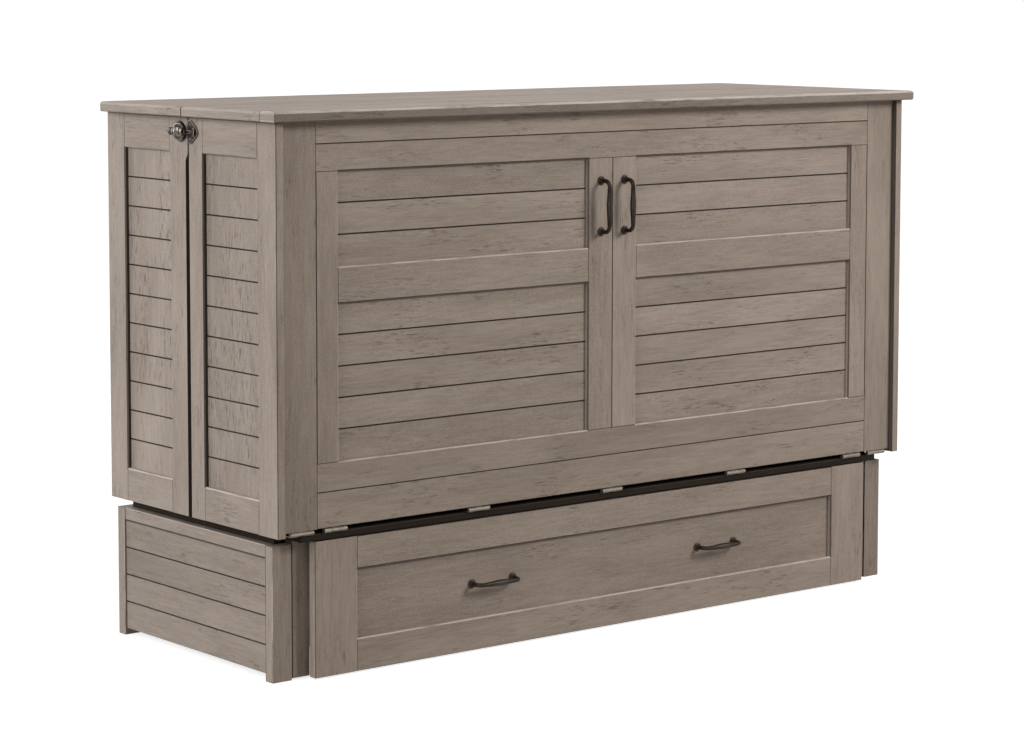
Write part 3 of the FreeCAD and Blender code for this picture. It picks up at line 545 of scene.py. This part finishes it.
def makeCover(name, look):
    finish = Finish(bpy.data.materials.new(name))
    place = finish.place()
    band = finish.attribute("band")

    def quiltLine(lean):
        run = finish.dot(place, (look["quilt"], 0, lean * look["quilt"]))
        return 1.0 - finish.maths("ABSOLUTE", finish.maths("SINE", run))

    stitch = finish.maths("MAXIMUM", quiltLine(1), quiltLine(-1))
    stitch = finish.step(stitch, 0.72, 1.0) * (1.0 - band)
    knit = finish.cells(place, 520.0)
    fluff = finish.noise(place, 140, 4, 0.6)
    colour = finish.mix(stitch * 0.75, look["knit"], look["groove"])
    colour = finish.mix(finish.step(fluff, 0.35, 0.7) * 0.18, colour, look["groove"])
    mesh = finish.mix(finish.step(knit, 0.15, 0.6), look["bandDark"], look["band"])
    colour = finish.mix(band, colour, mesh)
    height = knit * 0.22 + fluff * 0.2 - stitch * 1.0
    rough = fluff * 0.1 + knit * 0.05 + look["roughness"]
    bump = finish.bump(height, 0.6, 0.004)
    return finish.surface(Base_Color=colour, Roughness=rough, Specular_IOR_Level=0.2, Normal=bump)


finishes = {
    "stained_wood": makeWood("stainedWood", stainedWood), "plywood": makeWood("plywood", plywood),
    "slat_wood": makeWood("slatWood", slatWood), "backing_board": makeWood("backingBoard", backingBoard),
    "dark_bronze": makeBronze("darkBronze", darkBronze), "zinc_steel": makeZinc("zincSteel", zincSteel),
    "black_wheel": makeWheelPlastic("blackWheel", blackWheel),
    "mattress_cover": makeCover("mattressCover", mattressCover)}
latchFinish = makeBronze("rubbedAndHighlightBronze", rubbedAndHighlightBronze)

# nodes whose finish differs from the rest of their slot; several are darker copies that paint shade
special = (
    ("slabWood", slabWood, ["rear_top"]),
    ("topWood", topWood, ["front_top"]),
    ("noseWood", noseWood, ["front_top_nosing"]),
    ("shadedWood", shadedWood, ["hinge_rail", "base_bearers"]),
    ("darkStain", darkStain, ["head_floor"]),
    ("sideWood", sideWood, [side + "panel" for side in sideNames]),
    ("frameWood", frameWood, [side + "frame" for side in sideNames]),
    ("basePlankWood", basePlankWood, ["base_side_panels"]),
    ("postWood", postWood, ["base_posts"]),
    ("deeperWood", deeperWood, [
        "base_top_rails", "carriage_legs", "drawer_front_frame", "drawer_front_panel", "front_outer_stiles",
        "front_lower_rails"]),
    ("hingeNickel", hingeNickel, ["hinge_pins", "hinge_upper_leaves", "hinge_lower_leaves"]))
for name, node in nodes.items():
    node.data.materials.clear()
    node.data.materials.append(finishes[slotOf[name]])
for name, look, members in special:
    material = makeZinc(name, look) if "bright" in look else makeWood(name, look)
    for member in members:
        nodes[member].data.materials[0] = material
print("finishes made:", ", ".join(sorted(finishes)))


# turned and bent forms; each ring has a share of lightening
def ringFrame(direction):
    spare = unit[2] if abs(direction.z) < 0.9 else unit[0]
    across = direction.cross(spare).normalized()
    return across, direction.cross(across)


def turnsOf(count):
    return [2 * math.pi * k / count for k in range(count)]


def circle(centre, across, third, radius, sides):
    places = []
    for turn in turnsOf(sides):
        spoke = across * (radius * math.cos(turn)) + third * (radius * math.sin(turn))
        places.append(centre + spoke)
    return places


def addRing(piece, places, lighten):
    lightenLayer = piece.verts.layers.float.get("lighten") or piece.verts.layers.float.new("lighten")
    ring = [piece.verts.new(place) for place in places]
    for vertex in ring:
        vertex[lightenLayer] = lighten
    return ring


# a ring may be a single point, where its quads become triangles
def joinRings(piece, rings, closed=True):
    for near, far in zip(rings, rings[1:]):
        count = max(len(near), len(far))
        for k in range(count):
            n = (k + 1) % count
            corners = [near[k % len(near)], near[n % len(near)], far[n % len(far)], far[k % len(far)]]
            corners = list(dict.fromkeys(corners))
            if len(corners) > 2:
                piece.faces.new(corners)
    if closed:
        for ring in (rings[0], rings[-1]):
            if len(ring) > 2:
                piece.faces.new(ring)


# profile rows: distance along the axis, radius and lightening
def turned(piece, profile, start, axis, sides, closed=True):
    across, third = ringFrame(axis)
    rings = []
    for along, radius, lighten in profile:
        places = circle(start + axis * along, across, third, radius, sides)
        rings.append(addRing(piece, places if radius > 1e-6 else places[:1], lighten))
    joinRings(piece, rings, closed)


# rows given as shares of a length and a radius
def scaled(rows, length, radius):
    return [(length * along, radius * share, lighten) for along, share, lighten in rows]


# path rows: point, radius and lightening
def swept(piece, path, sides, closed=True):
    rings = []
    across = ringFrame((path[1][0] - path[0][0]).normalized())[0]
    for index, (point, radius, lighten) in enumerate(path):
        ahead = path[min(index + 1, len(path) - 1)][0]
        behind = path[max(index - 1, 0)][0]
        forward = (ahead - behind).normalized()
        across = (across - forward * across.dot(forward)).normalized()
        places = circle(point, across, forward.cross(across), radius, sides)
        rings.append(addRing(piece, places, lighten))
    joinRings(piece, rings, closed)


# a flat outline raised to a plate with a rounded edge
def plate(piece, outline, place, height, ease):
    corners = [Vector(corner) for corner in outline]
    leans = []
    for index, here in enumerate(corners):
        arrive = (here - corners[index - 1]).normalized()
        leave = (corners[(index + 1) % len(corners)] - here).normalized()
        leans.append(Vector((-(arrive.y + leave.y), arrive.x + leave.x)).normalized())
    rings = []
    # the rounded edge is lightened: rubbed wear, and on bronze a painted highlight
    edge = ((0, 0, 0), (0, height - ease, 0.4), (0.3 * ease, height - 0.3 * ease, 1), (ease, height, 0.8),
            (2.2 * ease, height, 0))
    for inset, depth, lighten in edge:
        moved = [here + lean * inset for here, lean in zip(corners, leans)]
        rings.append(addRing(piece, [place(spot.x, spot.y, depth) for spot in moved], lighten))
    joinRings(piece, rings)


def finishPiece(piece, name, body, slot, replaced=(), angle=38, look=None):
    bmesh.ops.recalc_face_normals(piece, faces=piece.faces)
    mesh = meshOf(piece, name)
    mesh.polygons.foreach_set("use_smooth", [True] * len(mesh.polygons))
    mesh.set_sharp_from_angle(angle=math.radians(angle))
    mesh.materials.append(look or finishes[slot])
    made = placed(name, mesh)
    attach(made, body)
    if replaced:
        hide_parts(*replaced)


# the four bail pulls: two turned feet and one bent bar
pull = {
    "spacing": 0.102, "neck": 0.0042, "waist": 0.0046, "belly": 0.0062, "swell": 1.2, "root": 0.003,
    "elbow": 0.013, "sides": 24, "elbowSteps": 9, "barSteps": 24, "sharpAngle": 50,
    "foot": [
        (0, 0.0087, 0), (0.0006, 0.0091, 0.1), (0.0016, 0.0091, 0.3), (0.0023, 0.0085, 0.5),
        (0.0027, 0.0073, 0.2), (0.0031, 0.0056, 0), (0.0042, 0.0048, 0), (0.0052, 0.0052, 0.2),
        (0.006, 0.005, 0.3), (0.0068, 0.0042, 0)]}


def makePull(name):
    low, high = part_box(name)
    along = unit[0] if high.x - low.x > high.z - low.z else unit[2]
    out = Vector((0, -1, 0))
    middle = (low + high) / 2
    middle.y = high.y
    reach = high.y - low.y - pull["belly"]
    half, bend, neck = pull["spacing"] / 2, pull["elbow"], pull["neck"]

    def onPull(side, lift):
        return middle + along * side + out * lift

    def leg(sign):
        rows = [(onPull(half * sign, pull["root"]), neck, 0), (onPull(half * sign, reach - bend), neck, 0.2)]
        for step in range(1, pull["elbowSteps"] + 1):
            turn = math.pi / 2 * step / pull["elbowSteps"]
            side = sign * (half - bend + bend * math.cos(turn))
            lift = reach - bend + bend * math.sin(turn)
            rows.append((onPull(side, lift), neck, 0.3 * math.sin(2 * turn)))
        return rows

    bar = []
    for step in range(1, pull["barSteps"]):
        share = 2 * step / pull["barSteps"] - 1
        swell = 0.5 + 0.5 * math.cos(math.pi * share)
        radius = pull["waist"] + (pull["belly"] - pull["waist"]) * swell ** pull["swell"]
        # the bar's belly is lightened: rubbed wear and a painted highlight
        bar.append((onPull((half - bend) * share, reach), radius, 0.45 * swell))
    piece = bmesh.new()
    for sign in (-1, 1):
        turned(piece, pull["foot"], onPull(half * sign, 0), out, pull["sides"])
    swept(piece, leg(-1) + bar + leg(1)[::-1], pull["sides"])
    finishPiece(piece, name + "_bail", bodyOf[name], "dark_bronze", (name,), pull["sharpAngle"])


for name in sorted(name for name in nodes if "_pull_" in name):
    makePull(name)
print("pulls made")

# the side latches: what rose, lever and strike share
latch = {
    "sideFace": 0.82, "pinPlace": 0.0385, "reach": 0.05, "gap": 0.001, "sides": 40,
    "head": [(0, 1, 0), (0.5, 0.94, 0.6), (0.85, 0.75, 1), (1, 0.3, 0.4), (1, 0, 0.4)]}


def domedHead(piece, place, out, radius, height):
    turned(piece, scaled(latch["head"], height, radius), place, out, 20)


# the rose's rows are shares; the pin's head is measured from its top
rose = {
    "radius": 0.02, "height": 0.003, "pin": 0.0029, "pinSides": 24,
    # the third column lightens the rose: rubbed wear and a painted reflection
    "rows": [
        (0, 1, 0), (0.4, 1, 0), (0.8, 0.975, 0.6), (1, 0.93, 0.4), (0.95, 0.87, 0.1), (0.62, 0.84, 0),
        (0.6, 0.8, 0), (0.7, 0.66, 0.1), (1, 0.52, 0.6), (1, 0.3, 0.2), (1, 0, 0)],
    "pinHead": [
        (-0.0015, 0.0029, 0), (-0.0015, 0.0054, 0.3), (-0.0006, 0.0052, 1), (0, 0.0036, 0.5), (0, 0, 0)],
    "screwPlace": (0.66, 0.55), "screw": (0.0022, 0.001)}


def makeRoses():
    low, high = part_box("latch_plates")
    stem = high.x - latch["sideFace"]
    side, lift = rose["screwPlace"]
    piece = bmesh.new()
    for sign in (-1, 1):
        out = unit[0] * sign
        centre = Vector((latch["sideFace"] * sign, (low.y + high.y) / 2, (low.z + high.z) / 2))
        turned(piece, scaled(rose["rows"], rose["height"], rose["radius"]), centre, out, latch["sides"])
        pin = [(0, rose["pin"], 0)] + [(stem + along, radius, lighten) for along, radius, lighten in rose["pinHead"]]
        turned(piece, pin, centre, out, rose["pinSides"])
        for end in (-1, 1):
            place = centre + Vector((0, 0, end * rose["radius"] * side)) + out * (lift * rose["height"])
            domedHead(piece, place, out, *rose["screw"])
    finishPiece(piece, "latchRoses", "base", "dark_bronze", ("latch_plates",), look=latchFinish)


# the lever: a collar on the pin, a flat tongue and a barrel on a drum, its block taller than its knob
lever = {
    "play": 0.0004, "bore": 0.0031, "hub": 0.009,
    "collar": [(0, 1, 0.2), (0.4, 1, 0.5), (0.6, 0.93, 1), (0.8, 0.72, 0.6)],
    "tongueWidth": 0.0075, "tongueHeight": 0.003, "tongueEase": 0.0006, "root": (-0.01, 1.1),
    "tongue": [(0.45, 1), (0.82, 0.9), (0.95, 0.55)],
    "drum": (-0.005, 0.0203, 0.0168, 0.0056), "drumEase": 0.0013,
    "lift": 0.0063, "barrelSides": 36, "blockEnd": 0.0045, "blockTall": 1.6, "knobTall": 1.4,
    # the third column lightens the barrel's ribs: rubbed wear and a painted reflection
    "barrel": [
        (-0.0245, 0, 0), (-0.0243, 0.0036, 0.1), (-0.0232, 0.0046, 0.6), (-0.0196, 0.006, 0.9),
        (-0.0186, 0.0062, 0.5), (-0.0178, 0.0051, 0), (-0.016, 0.0051, 0), (-0.015, 0.0062, 0.8),
        (-0.011, 0.006, 0.5), (-0.0066, 0.0062, 0.8), (-0.0058, 0.0051, 0), (-0.0038, 0.0051, 0),
        (-0.0028, 0.0062, 0.8), (0.0024, 0.006, 0.5), (0.004, 0.005, 0.1), (0.0046, 0.0046, 0),
        (0.006, 0.0044, 0), (0.0068, 0.0054, 0.8), (0.011, 0.005, 0.3), (0.012, 0.004, 0),
        (0.0132, 0.004, 0), (0.014, 0.0052, 0), (0.0215, 0.0052, 0), (0.0232, 0.0042, 0), (0.0234, 0, 0)]}


def makeLever(name):
    low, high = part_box(name)
    sign = 1 if low.x > 0 else -1
    out, back = unit[0] * sign, unit[1]
    height = high.x - low.x
    seat = latch["sideFace"] + rose["height"] + lever["play"]
    pivot = Vector((sign * seat, low.y + latch["reach"], (low.z + high.z) / 2))

    def onSide(u, v, depth):
        return pivot + back * u + unit[2] * v + out * depth

    piece = bmesh.new()
    collar = scaled(lever["collar"], height, lever["hub"])
    collar = [(0, lever["bore"], 0)] + collar + [(collar[-1][0], lever["bore"], 0)]
    turned(piece, collar, pivot, out, latch["sides"])
    half = lever["tongueWidth"] / 2
    tip = low.y - pivot.y
    root, flare = lever["root"]
    upper = [(root, half * flare)] + [(share * tip, half * width) for share, width in lever["tongue"]]
    lower = [(along, -wide) for along, wide in upper]
    outline = lower[:1] + upper + [(tip, 0.0)] + lower[:0:-1]
    plate(piece, outline, onSide, lever["tongueHeight"], lever["tongueEase"])
    middle, long, tall, thick = lever["drum"]
    drum = [(middle + long * math.cos(turn), tall * math.sin(turn)) for turn in turnsOf(latch["sides"])]
    plate(piece, drum, onSide, thick, lever["drumEase"])
    before = set(piece.verts)
    centre = pivot + out * lever["lift"]
    turned(piece, lever["barrel"], centre, back, lever["barrelSides"])
    for vertex in set(piece.verts) - before:
        block = (vertex.co - centre).dot(back) < lever["blockEnd"]
        stretch = lever["blockTall"] if block else lever["knobTall"]
        vertex.co.z = centre.z + (vertex.co.z - centre.z) * stretch
    finishPiece(piece, name + "_turned", name, "dark_bronze", (name,), look=latchFinish)


# the strike: an ogee plate whose front bows between two horns, with the rib that the tongue lies before
strike = {
    "steps": 14, "shoulder": 0.42, "bow": 0.58, "bowPower": 1.5, "hornStart": 0.8, "horn": 0.003,
    "height": 0.003, "ease": 0.0012, "ribWidth": 0.005, "ribHalf": 0.0078, "ribHeight": 0.0065,
    "ribEase": 0.0007, "screwPlace": (0.26, 0.62, 0.0025), "screw": (0.0026, 0.0007)}


def strikeOutline(depth, half):
    outline = [(0.0, -half)]
    for row in range(strike["steps"] + 1):
        share = 2 * row / strike["steps"] - 1
        bow = strike["bow"] * math.cos(math.pi / 2 * share) ** strike["bowPower"]
        horn = max(0.0, abs(share) - strike["hornStart"]) / (1 - strike["hornStart"])
        outline.append((depth * (strike["shoulder"] + bow) - strike["horn"] * horn ** 2, half * share))
    return outline + [(0.0, half)]


def makeStrikes():
    low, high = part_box("latch_strikes")
    depth = high.y - low.y
    middle, half = (low.z + high.z) / 2, (high.z - low.z) / 2
    ribBack = high.y - (latch["pinPlace"] - latch["reach"] - latch["gap"])
    ribFront, ribHalf = ribBack + strike["ribWidth"], strike["ribHalf"]
    rib = [(ribBack, -ribHalf), (ribFront, -ribHalf), (ribFront, ribHalf), (ribBack, ribHalf)]
    side, end, lift = strike["screwPlace"]
    piece = bmesh.new()
    for sign in (-1, 1):
        out = unit[0] * sign

        def onSide(u, v, height):
            return Vector((latch["sideFace"] * sign, high.y - u, middle + v)) + out * height

        plate(piece, strikeOutline(depth, half), onSide, strike["height"], strike["ease"])
        plate(piece, rib, onSide, strike["ribHeight"], strike["ribEase"])
        for place in (-1, 1):
            domedHead(piece, onSide(depth * side, place * half * end, lift), out, *strike["screw"])
    finishPiece(piece, "latchStrikes", "front", "dark_bronze", ("latch_strikes",), look=latchFinish)


makeRoses()
makeLever("latch_lever_left")
makeLever("latch_lever_right")
makeStrikes()
print("latches made")

# caster wheels: a rounded tread, dished sides, and spokes that overlap hub and rim
wheel = {
    "bore": 0.0031, "hub": 0.0062, "rim": 0.0152, "dish": 0.0035, "sides": 48, "sharpAngle": 30,
    "spokes": 6, "spokeHalf": 0.0011, "spokeSet": 0.001, "spokeDeep": 0.0027, "spokeHeight": 0.002,
    "spokeEase": 0.0002, "spokeRoot": 0.0005, "spokeEnd": 0.0003}


def makeWheel(name):
    low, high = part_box(name)
    radius = (high.z - low.z) / 2
    half = (high.x - low.x) / 2
    width = 2 * half
    start = (low + high) / 2 - unit[0] * half
    hub, rim, dish = wheel["hub"], wheel["rim"], wheel["dish"]
    near = [(0, wheel["bore"], 0), (0.0002, hub, 0.3), (dish, hub, 0), (dish, rim, 0),
            (0.0006, rim + 0.0006, 0.3), (0.0002, rim + 0.0016, 0.5), (0.0012, radius - 0.0006, 0.8),
            (0.003, radius, 1)]
    far = [(width - along, ring, lighten) for along, ring, lighten in near]
    piece = bmesh.new()
    turned(piece, near[2::-1] + far + near[:1:-1], start, unit[0], wheel["sides"], False)
    bmesh.ops.remove_doubles(piece, verts=piece.verts, dist=1e-6)
    first, last, wide = hub - wheel["spokeRoot"], rim + wheel["spokeEnd"], wheel["spokeHalf"]
    outline = [(first, -wide), (last, -wide), (last, wide), (first, wide)]
    nearFace, deep, tall = wheel["spokeSet"], wheel["spokeDeep"], wheel["spokeHeight"]
    for angle in turnsOf(wheel["spokes"]):
        outward = unit[1] * math.cos(angle) + unit[2] * math.sin(angle)
        aside = unit[1] * -math.sin(angle) + unit[2] * math.cos(angle)
        for face, depth in ((nearFace, deep), (width - nearFace, -deep)):

            def onWheel(u, v, lift):
                return start + unit[0] * (face + depth * (1 - lift / tall)) + outward * u + aside * v

            plate(piece, outline, onWheel, tall, wheel["spokeEase"])
    finishPiece(piece, name + "_moulded", name, "black_wheel", (name,), wheel["sharpAngle"])


wheelNames = sorted(name for name in nodes if slotOf[name] == "black_wheel")
for name in wheelNames:
    makeWheel(name)
print("caster wheels made:", len(wheelNames))

# countersunk screws: hinge leaves, back panel and slats
screw = {
    "radius": 0.0036, "height": 0.0007, "sides": 16,
    "head": [(0, 1, 0), (0.6, 0.97, 1), (1, 0.86, 0.6), (0.9, 0.45, 0), (0.2, 0.18, 0), (0.2, 0, 0)],
    "hingeEnd": 0.026, "hingePair": 0.076, "leaf": 0.002, "leafBack": 0.0088, "leafRadius": 0.0031,
    "onLeaf": [(-0.018, 0.0), (0.0, 0.0045), (0.018, 0.0)],
    "backInset": 0.01, "backColumns": 10, "backRows": 5, "slatInset": 0.009, "slatMiddle": 0.011}


def screwHead(piece, place, out, radius=screw["radius"]):
    turned(piece, scaled(screw["head"], screw["height"], radius), place, out, screw["sides"])


def makeHingeScrews():
    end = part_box("hinge_lower_leaves")[1].x - screw["hingeEnd"]
    second = end - screw["hingePair"]
    hinges = [-end, -second, -second / 2, 0.0, second / 2, second, end]
    for node, body, sign in (("hinge_upper_leaves", "front", -1), ("hinge_lower_leaves", "carriage", 1)):
        low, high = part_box(node)
        face = high.z - screw["leaf"] if sign < 0 else low.z + screw["leaf"]
        piece = bmesh.new()
        for x in hinges:
            for dx, dy in screw["onLeaf"]:
                place = Vector((x + dx, high.y - screw["leafBack"] + dy, face))
                screwHead(piece, place, unit[2] * sign, screw["leafRadius"])
        finishPiece(piece, node + "_screws", body, "zinc_steel")


def makeBackScrews():
    low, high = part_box("back_panel")
    inset = screw["backInset"]
    left, right, bottom, top = low.x + inset, high.x - inset, low.z + inset, high.z - inset
    columns = [left] + planks(left, right, screw["backColumns"]) + [right]
    places = [(x, z) for x in columns for z in (bottom, top)]
    places += [(x, z) for z in planks(bottom, top, screw["backRows"]) for x in (left, right)]
    piece = bmesh.new()
    for x, z in places:
        screwHead(piece, Vector((x, high.y, z)), unit[1])
    finishPiece(piece, "backPanelScrews", "base", "zinc_steel")


def makeSlatScrews():
    low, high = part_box("carriage_slats")
    inset, centre = screw["slatInset"], screw["slatMiddle"]
    columns = (low.x + inset, -centre, centre, high.x - inset)
    piece = bmesh.new()
    for start in slatStarts():
        for x in columns:
            screwHead(piece, Vector((x, start + boards["slatWidth"] / 2, high.z)), unit[2])
    finishPiece(piece, "slatScrews", "carriage", "zinc_steel")


makeHingeScrews()
makeBackScrews()
makeSlatScrews()
print("screws made")

# the three mattress sections: one is swollen by the cloth solver and the others are its copies
mattress = {
    "voxel": 0.012, "quickVoxel": 0.018, "weld": 0.00002, "shrink": (0.01, 0.011, 0.01), "frames": 20,
    "cap": 0.024, "clearance": 0.0004, "fill": 0.9, "bandTilt": 0.55, "piping": 0.0042,
    "pipingInset": 0.017, "pipingSteps": 150, "pipingSides": 8, "pipingLift": 0.2, "rayStart": 1.3,
    "cloth": {
        "quality": 4, "mass": 0.4, "tension_stiffness": 25, "compression_stiffness": 25, "shear_stiffness": 8,
        "bending_stiffness": 2, "use_pressure": True, "uniform_pressure_force": 4.0}}


def weldedCopy(name):
    low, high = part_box(name)
    middle, size = (low + high) / 2, high - low
    piece = bmesh.new()
    piece.from_mesh(nodes[name].data)
    bmesh.ops.remove_doubles(piece, verts=piece.verts, dist=mattress["weld"])
    for vertex in piece.verts:
        for axis in range(3):
            share = 1 - 2 * mattress["shrink"][axis] / size[axis]
            vertex.co[axis] = middle[axis] + (vertex.co[axis] - middle[axis]) * share
    return placed("swelling", meshOf(piece, "swelling"))


# the mesh that the modifiers make becomes the object's own
def settle(made):
    depsgraph = bpy.context.evaluated_depsgraph_get()
    mesh = bpy.data.meshes.new_from_object(made.evaluated_get(depsgraph))
    made.modifiers.clear()
    made.data = mesh
    return mesh


def swell(made):
    cloth = made.modifiers.new("cloth", "CLOTH")
    for setting, value in mattress["cloth"].items():
        setattr(cloth.settings, setting, value)
    cloth.settings.effector_weights.gravity = 0
    cloth.collision_settings.use_collision = False
    cloth.point_cache.frame_start = 1
    cloth.point_cache.frame_end = mattress["frames"]
    for step in range(1, mattress["frames"] + 1):
        scene.frame_set(step)
    settle(made)
    scene.frame_set(1)


def swollenSection(name):
    made = weldedCopy(name)
    remesh = made.modifiers.new("remesh", "REMESH")
    remesh.mode = "VOXEL"
    remesh.voxel_size = mattress["voxel"]
    start = [vertex.co.copy() for vertex in settle(made).vertices]
    swell(made)
    for vertex, home in zip(made.data.vertices, start):
        move = vertex.co - home
        if move.length > mattress["cap"]:
            vertex.co = home + move * (mattress["cap"] / move.length)
    made.modifiers.new("rounding", "SUBSURF").levels = 1
    low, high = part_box(name)
    clearance = mattress["clearance"]
    for vertex in settle(made).vertices:
        for axis in range(3):
            vertex.co[axis] = min(max(vertex.co[axis], low[axis] + clearance), high[axis] - clearance)
    return made


# rays from outside find the section's surface, and the piping stands a little proud of it
def pipingLoop(tree, low, high, depth, offset):
    middle = (low + high) / 2
    middle.y = depth
    reach = mattress["piping"]
    rows = []
    for angle in turnsOf(mattress["pipingSteps"]):
        aim = Vector(((high.x - low.x) / 2 * math.cos(angle), 0, (high.z - low.z) / 2 * math.sin(angle)))
        corner = max(abs(math.cos(angle)), abs(math.sin(angle)))
        far = middle + aim * (mattress["rayStart"] / corner)
        inward = middle - far
        hit = tree.ray_cast(far, inward.normalized(), inward.length)[0]
        if hit is not None:
            hit = hit - inward.normalized() * (mattress["pipingLift"] * reach)
            hit.z = max(hit.z, low.z + reach)
            rows.append((hit + offset, reach, 0.0))
    return rows


def makeMattress():
    source = "mattress_foot"
    swollen = swollenSection(source)
    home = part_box(source)
    points = [vertex.co.copy() for vertex in swollen.data.vertices]
    tree = BVHTree.FromPolygons(points, [tuple(face.vertices) for face in swollen.data.polygons])
    depths = (home[0].y + mattress["pipingInset"], home[1].y - mattress["pipingInset"])
    for name in (source, "mattress_middle", "mattress_head"):
        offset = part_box(name)[0] - home[0]
        mesh = swollen.data.copy()
        mesh.transform(Matrix.Translation(offset))
        if name == "mattress_middle":
            for vertex in mesh.vertices:
                vertex.co.x = -vertex.co.x
            mesh.flip_normals()
        mesh.name = name + "_cover"
        bands = mesh.attributes.new("band", "FLOAT", "FACE")
        tilts = [0.0 if abs(face.normal.y) > mattress["bandTilt"] else 1.0 for face in mesh.polygons]
        bands.data.foreach_set("value", tilts)
        mesh.polygons.foreach_set("use_smooth", [True] * len(mesh.polygons))
        mesh.materials.clear()
        mesh.materials.append(finishes["mattress_cover"])
        cover = placed(name + "_cover", mesh)
        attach(cover, bodyOf[name])
        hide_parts(name)
        piping = bmesh.new()
        for depth in depths:
            rows = pipingLoop(tree, home[0], home[1], depth, offset)
            swept(piping, rows + rows[:2], mattress["pipingSides"], False)
        finishPiece(piping, name + "_piping", bodyOf[name], "mattress_cover")
    bpy.data.objects.remove(swollen)
    print("mattress sections made")


makeMattress()

# floor, light and camera; the floor is darker in the light it throws back than to the camera
floor = {
    "size": 60.0, "level": -0.0006, "pale": (0.66, 0.66, 0.656), "other": (0.3, 0.285, 0.27),
    "glow": (0.75, 0.75, 0.75), "speck": (0.8, 0.8, 0.8), "speckShare": 0.03, "roughness": 0.9}


def lightRays(finish):
    kinds = ("Is Camera Ray", "Is Glossy Ray", "Is Transmission Ray")
    return sum(finish.node("ShaderNodeLightPath", None, None, kind) for kind in kinds)


def makeFloor():
    piece = bmesh.new()
    half = floor["size"] / 2
    corners = ((-half, -half), (half, -half), (half, half), (-half, half))
    piece.faces.new([piece.verts.new((x, y, floor["level"])) for x, y in corners])
    mesh = meshOf(piece, "floor")
    finish = Finish(bpy.data.materials.new("paleFloor"))
    rays = lightRays(finish)
    seen = finish.mix(rays, floor["other"], floor["pale"])
    glow = finish.mix(rays, (0.0, 0.0, 0.0), floor["glow"])
    speck = finish.noise(finish.place(), 6, 4, 0.6)
    colour = finish.mix(speck * floor["speckShare"], seen, floor["speck"])
    mesh.materials.append(finish.surface(
        Base_Color=colour, Roughness=floor["roughness"], Emission_Color=glow, Emission_Strength=1.0,
        Specular_IOR_Level=0.0))
    placed("floor", mesh)


# suns: the way to the light, its strength, its spread in degrees and its colour
studio = {
    "sky": 0.11, "skyColour": (1.0, 0.97, 0.94),
    "suns": {
        "leftFill": ((-0.95, -0.06, 0.36), 2.28, 50, (0.98, 1.0, 1.03)),
        "backFill": ((-0.25, 1.0, 0.3), 1.3, 40, (1.0, 0.97, 0.94))},
    "key": {
        "place": (3.3, -4.4, 3.4), "target": (0.1, -0.2, 0.55), "size": 1.8, "watts": 218,
        "colour": (1.0, 0.97, 0.94)}}


def makeLight(name, kind, energy, colour, towards):
    data = bpy.data.lights.new(name, kind)
    data.energy = energy
    data.color = colour
    made = placed(name, data)
    made.rotation_euler = Vector(towards).to_track_quat("Z", "Y").to_euler()
    return made


def makeLights():
    world = bpy.data.worlds.new("studio")
    scene.world = world
    finish = Finish(world)
    sky = finish.node("ShaderNodeBackground", None, {0: rgba(studio["skyColour"]), 1: studio["sky"]})
    white = finish.node("ShaderNodeBackground", None, {0: (1, 1, 1, 1), 1: 1.0})
    both = finish.node("ShaderNodeMixShader", None, {0: lightRays(finish), 1: sky, 2: white})
    finish.node("ShaderNodeOutputWorld", None, {0: both})
    for name, (towards, strength, spread, colour) in studio["suns"].items():
        makeLight(name, "SUN", strength, colour, towards).data.angle = math.radians(spread)
    key = studio["key"]
    towards = Vector(key["place"]) - Vector(key["target"])
    made = makeLight("key", "AREA", key["watts"], key["colour"], towards)
    made.data.size = key["size"]
    made.location = key["place"]


# the photograph's camera: place in metres, heading and pitch in degrees, lens and sensor in millimetres
eye = {
    "place": (-3.7994, -4.6317, 1.3009), "heading": 38.361, "pitch": 5.148, "lens": 101.95,
    "sensor": 36, "shift": (0.0352, -0.12)}


def makeCamera():
    data = bpy.data.cameras.new("camera")
    data.sensor_width = eye["sensor"]
    data.lens = eye["lens"]
    data.shift_x, data.shift_y = eye["shift"]
    made = placed("camera", data)
    made.location = eye["place"]
    made.rotation_euler = (math.radians(90 - eye["pitch"]), 0, math.radians(-eye["heading"]))
    scene.camera = made


makeFloor()
makeLights()
makeCamera()
scene.view_settings.view_transform = "Standard"
print("floor, light and camera made")
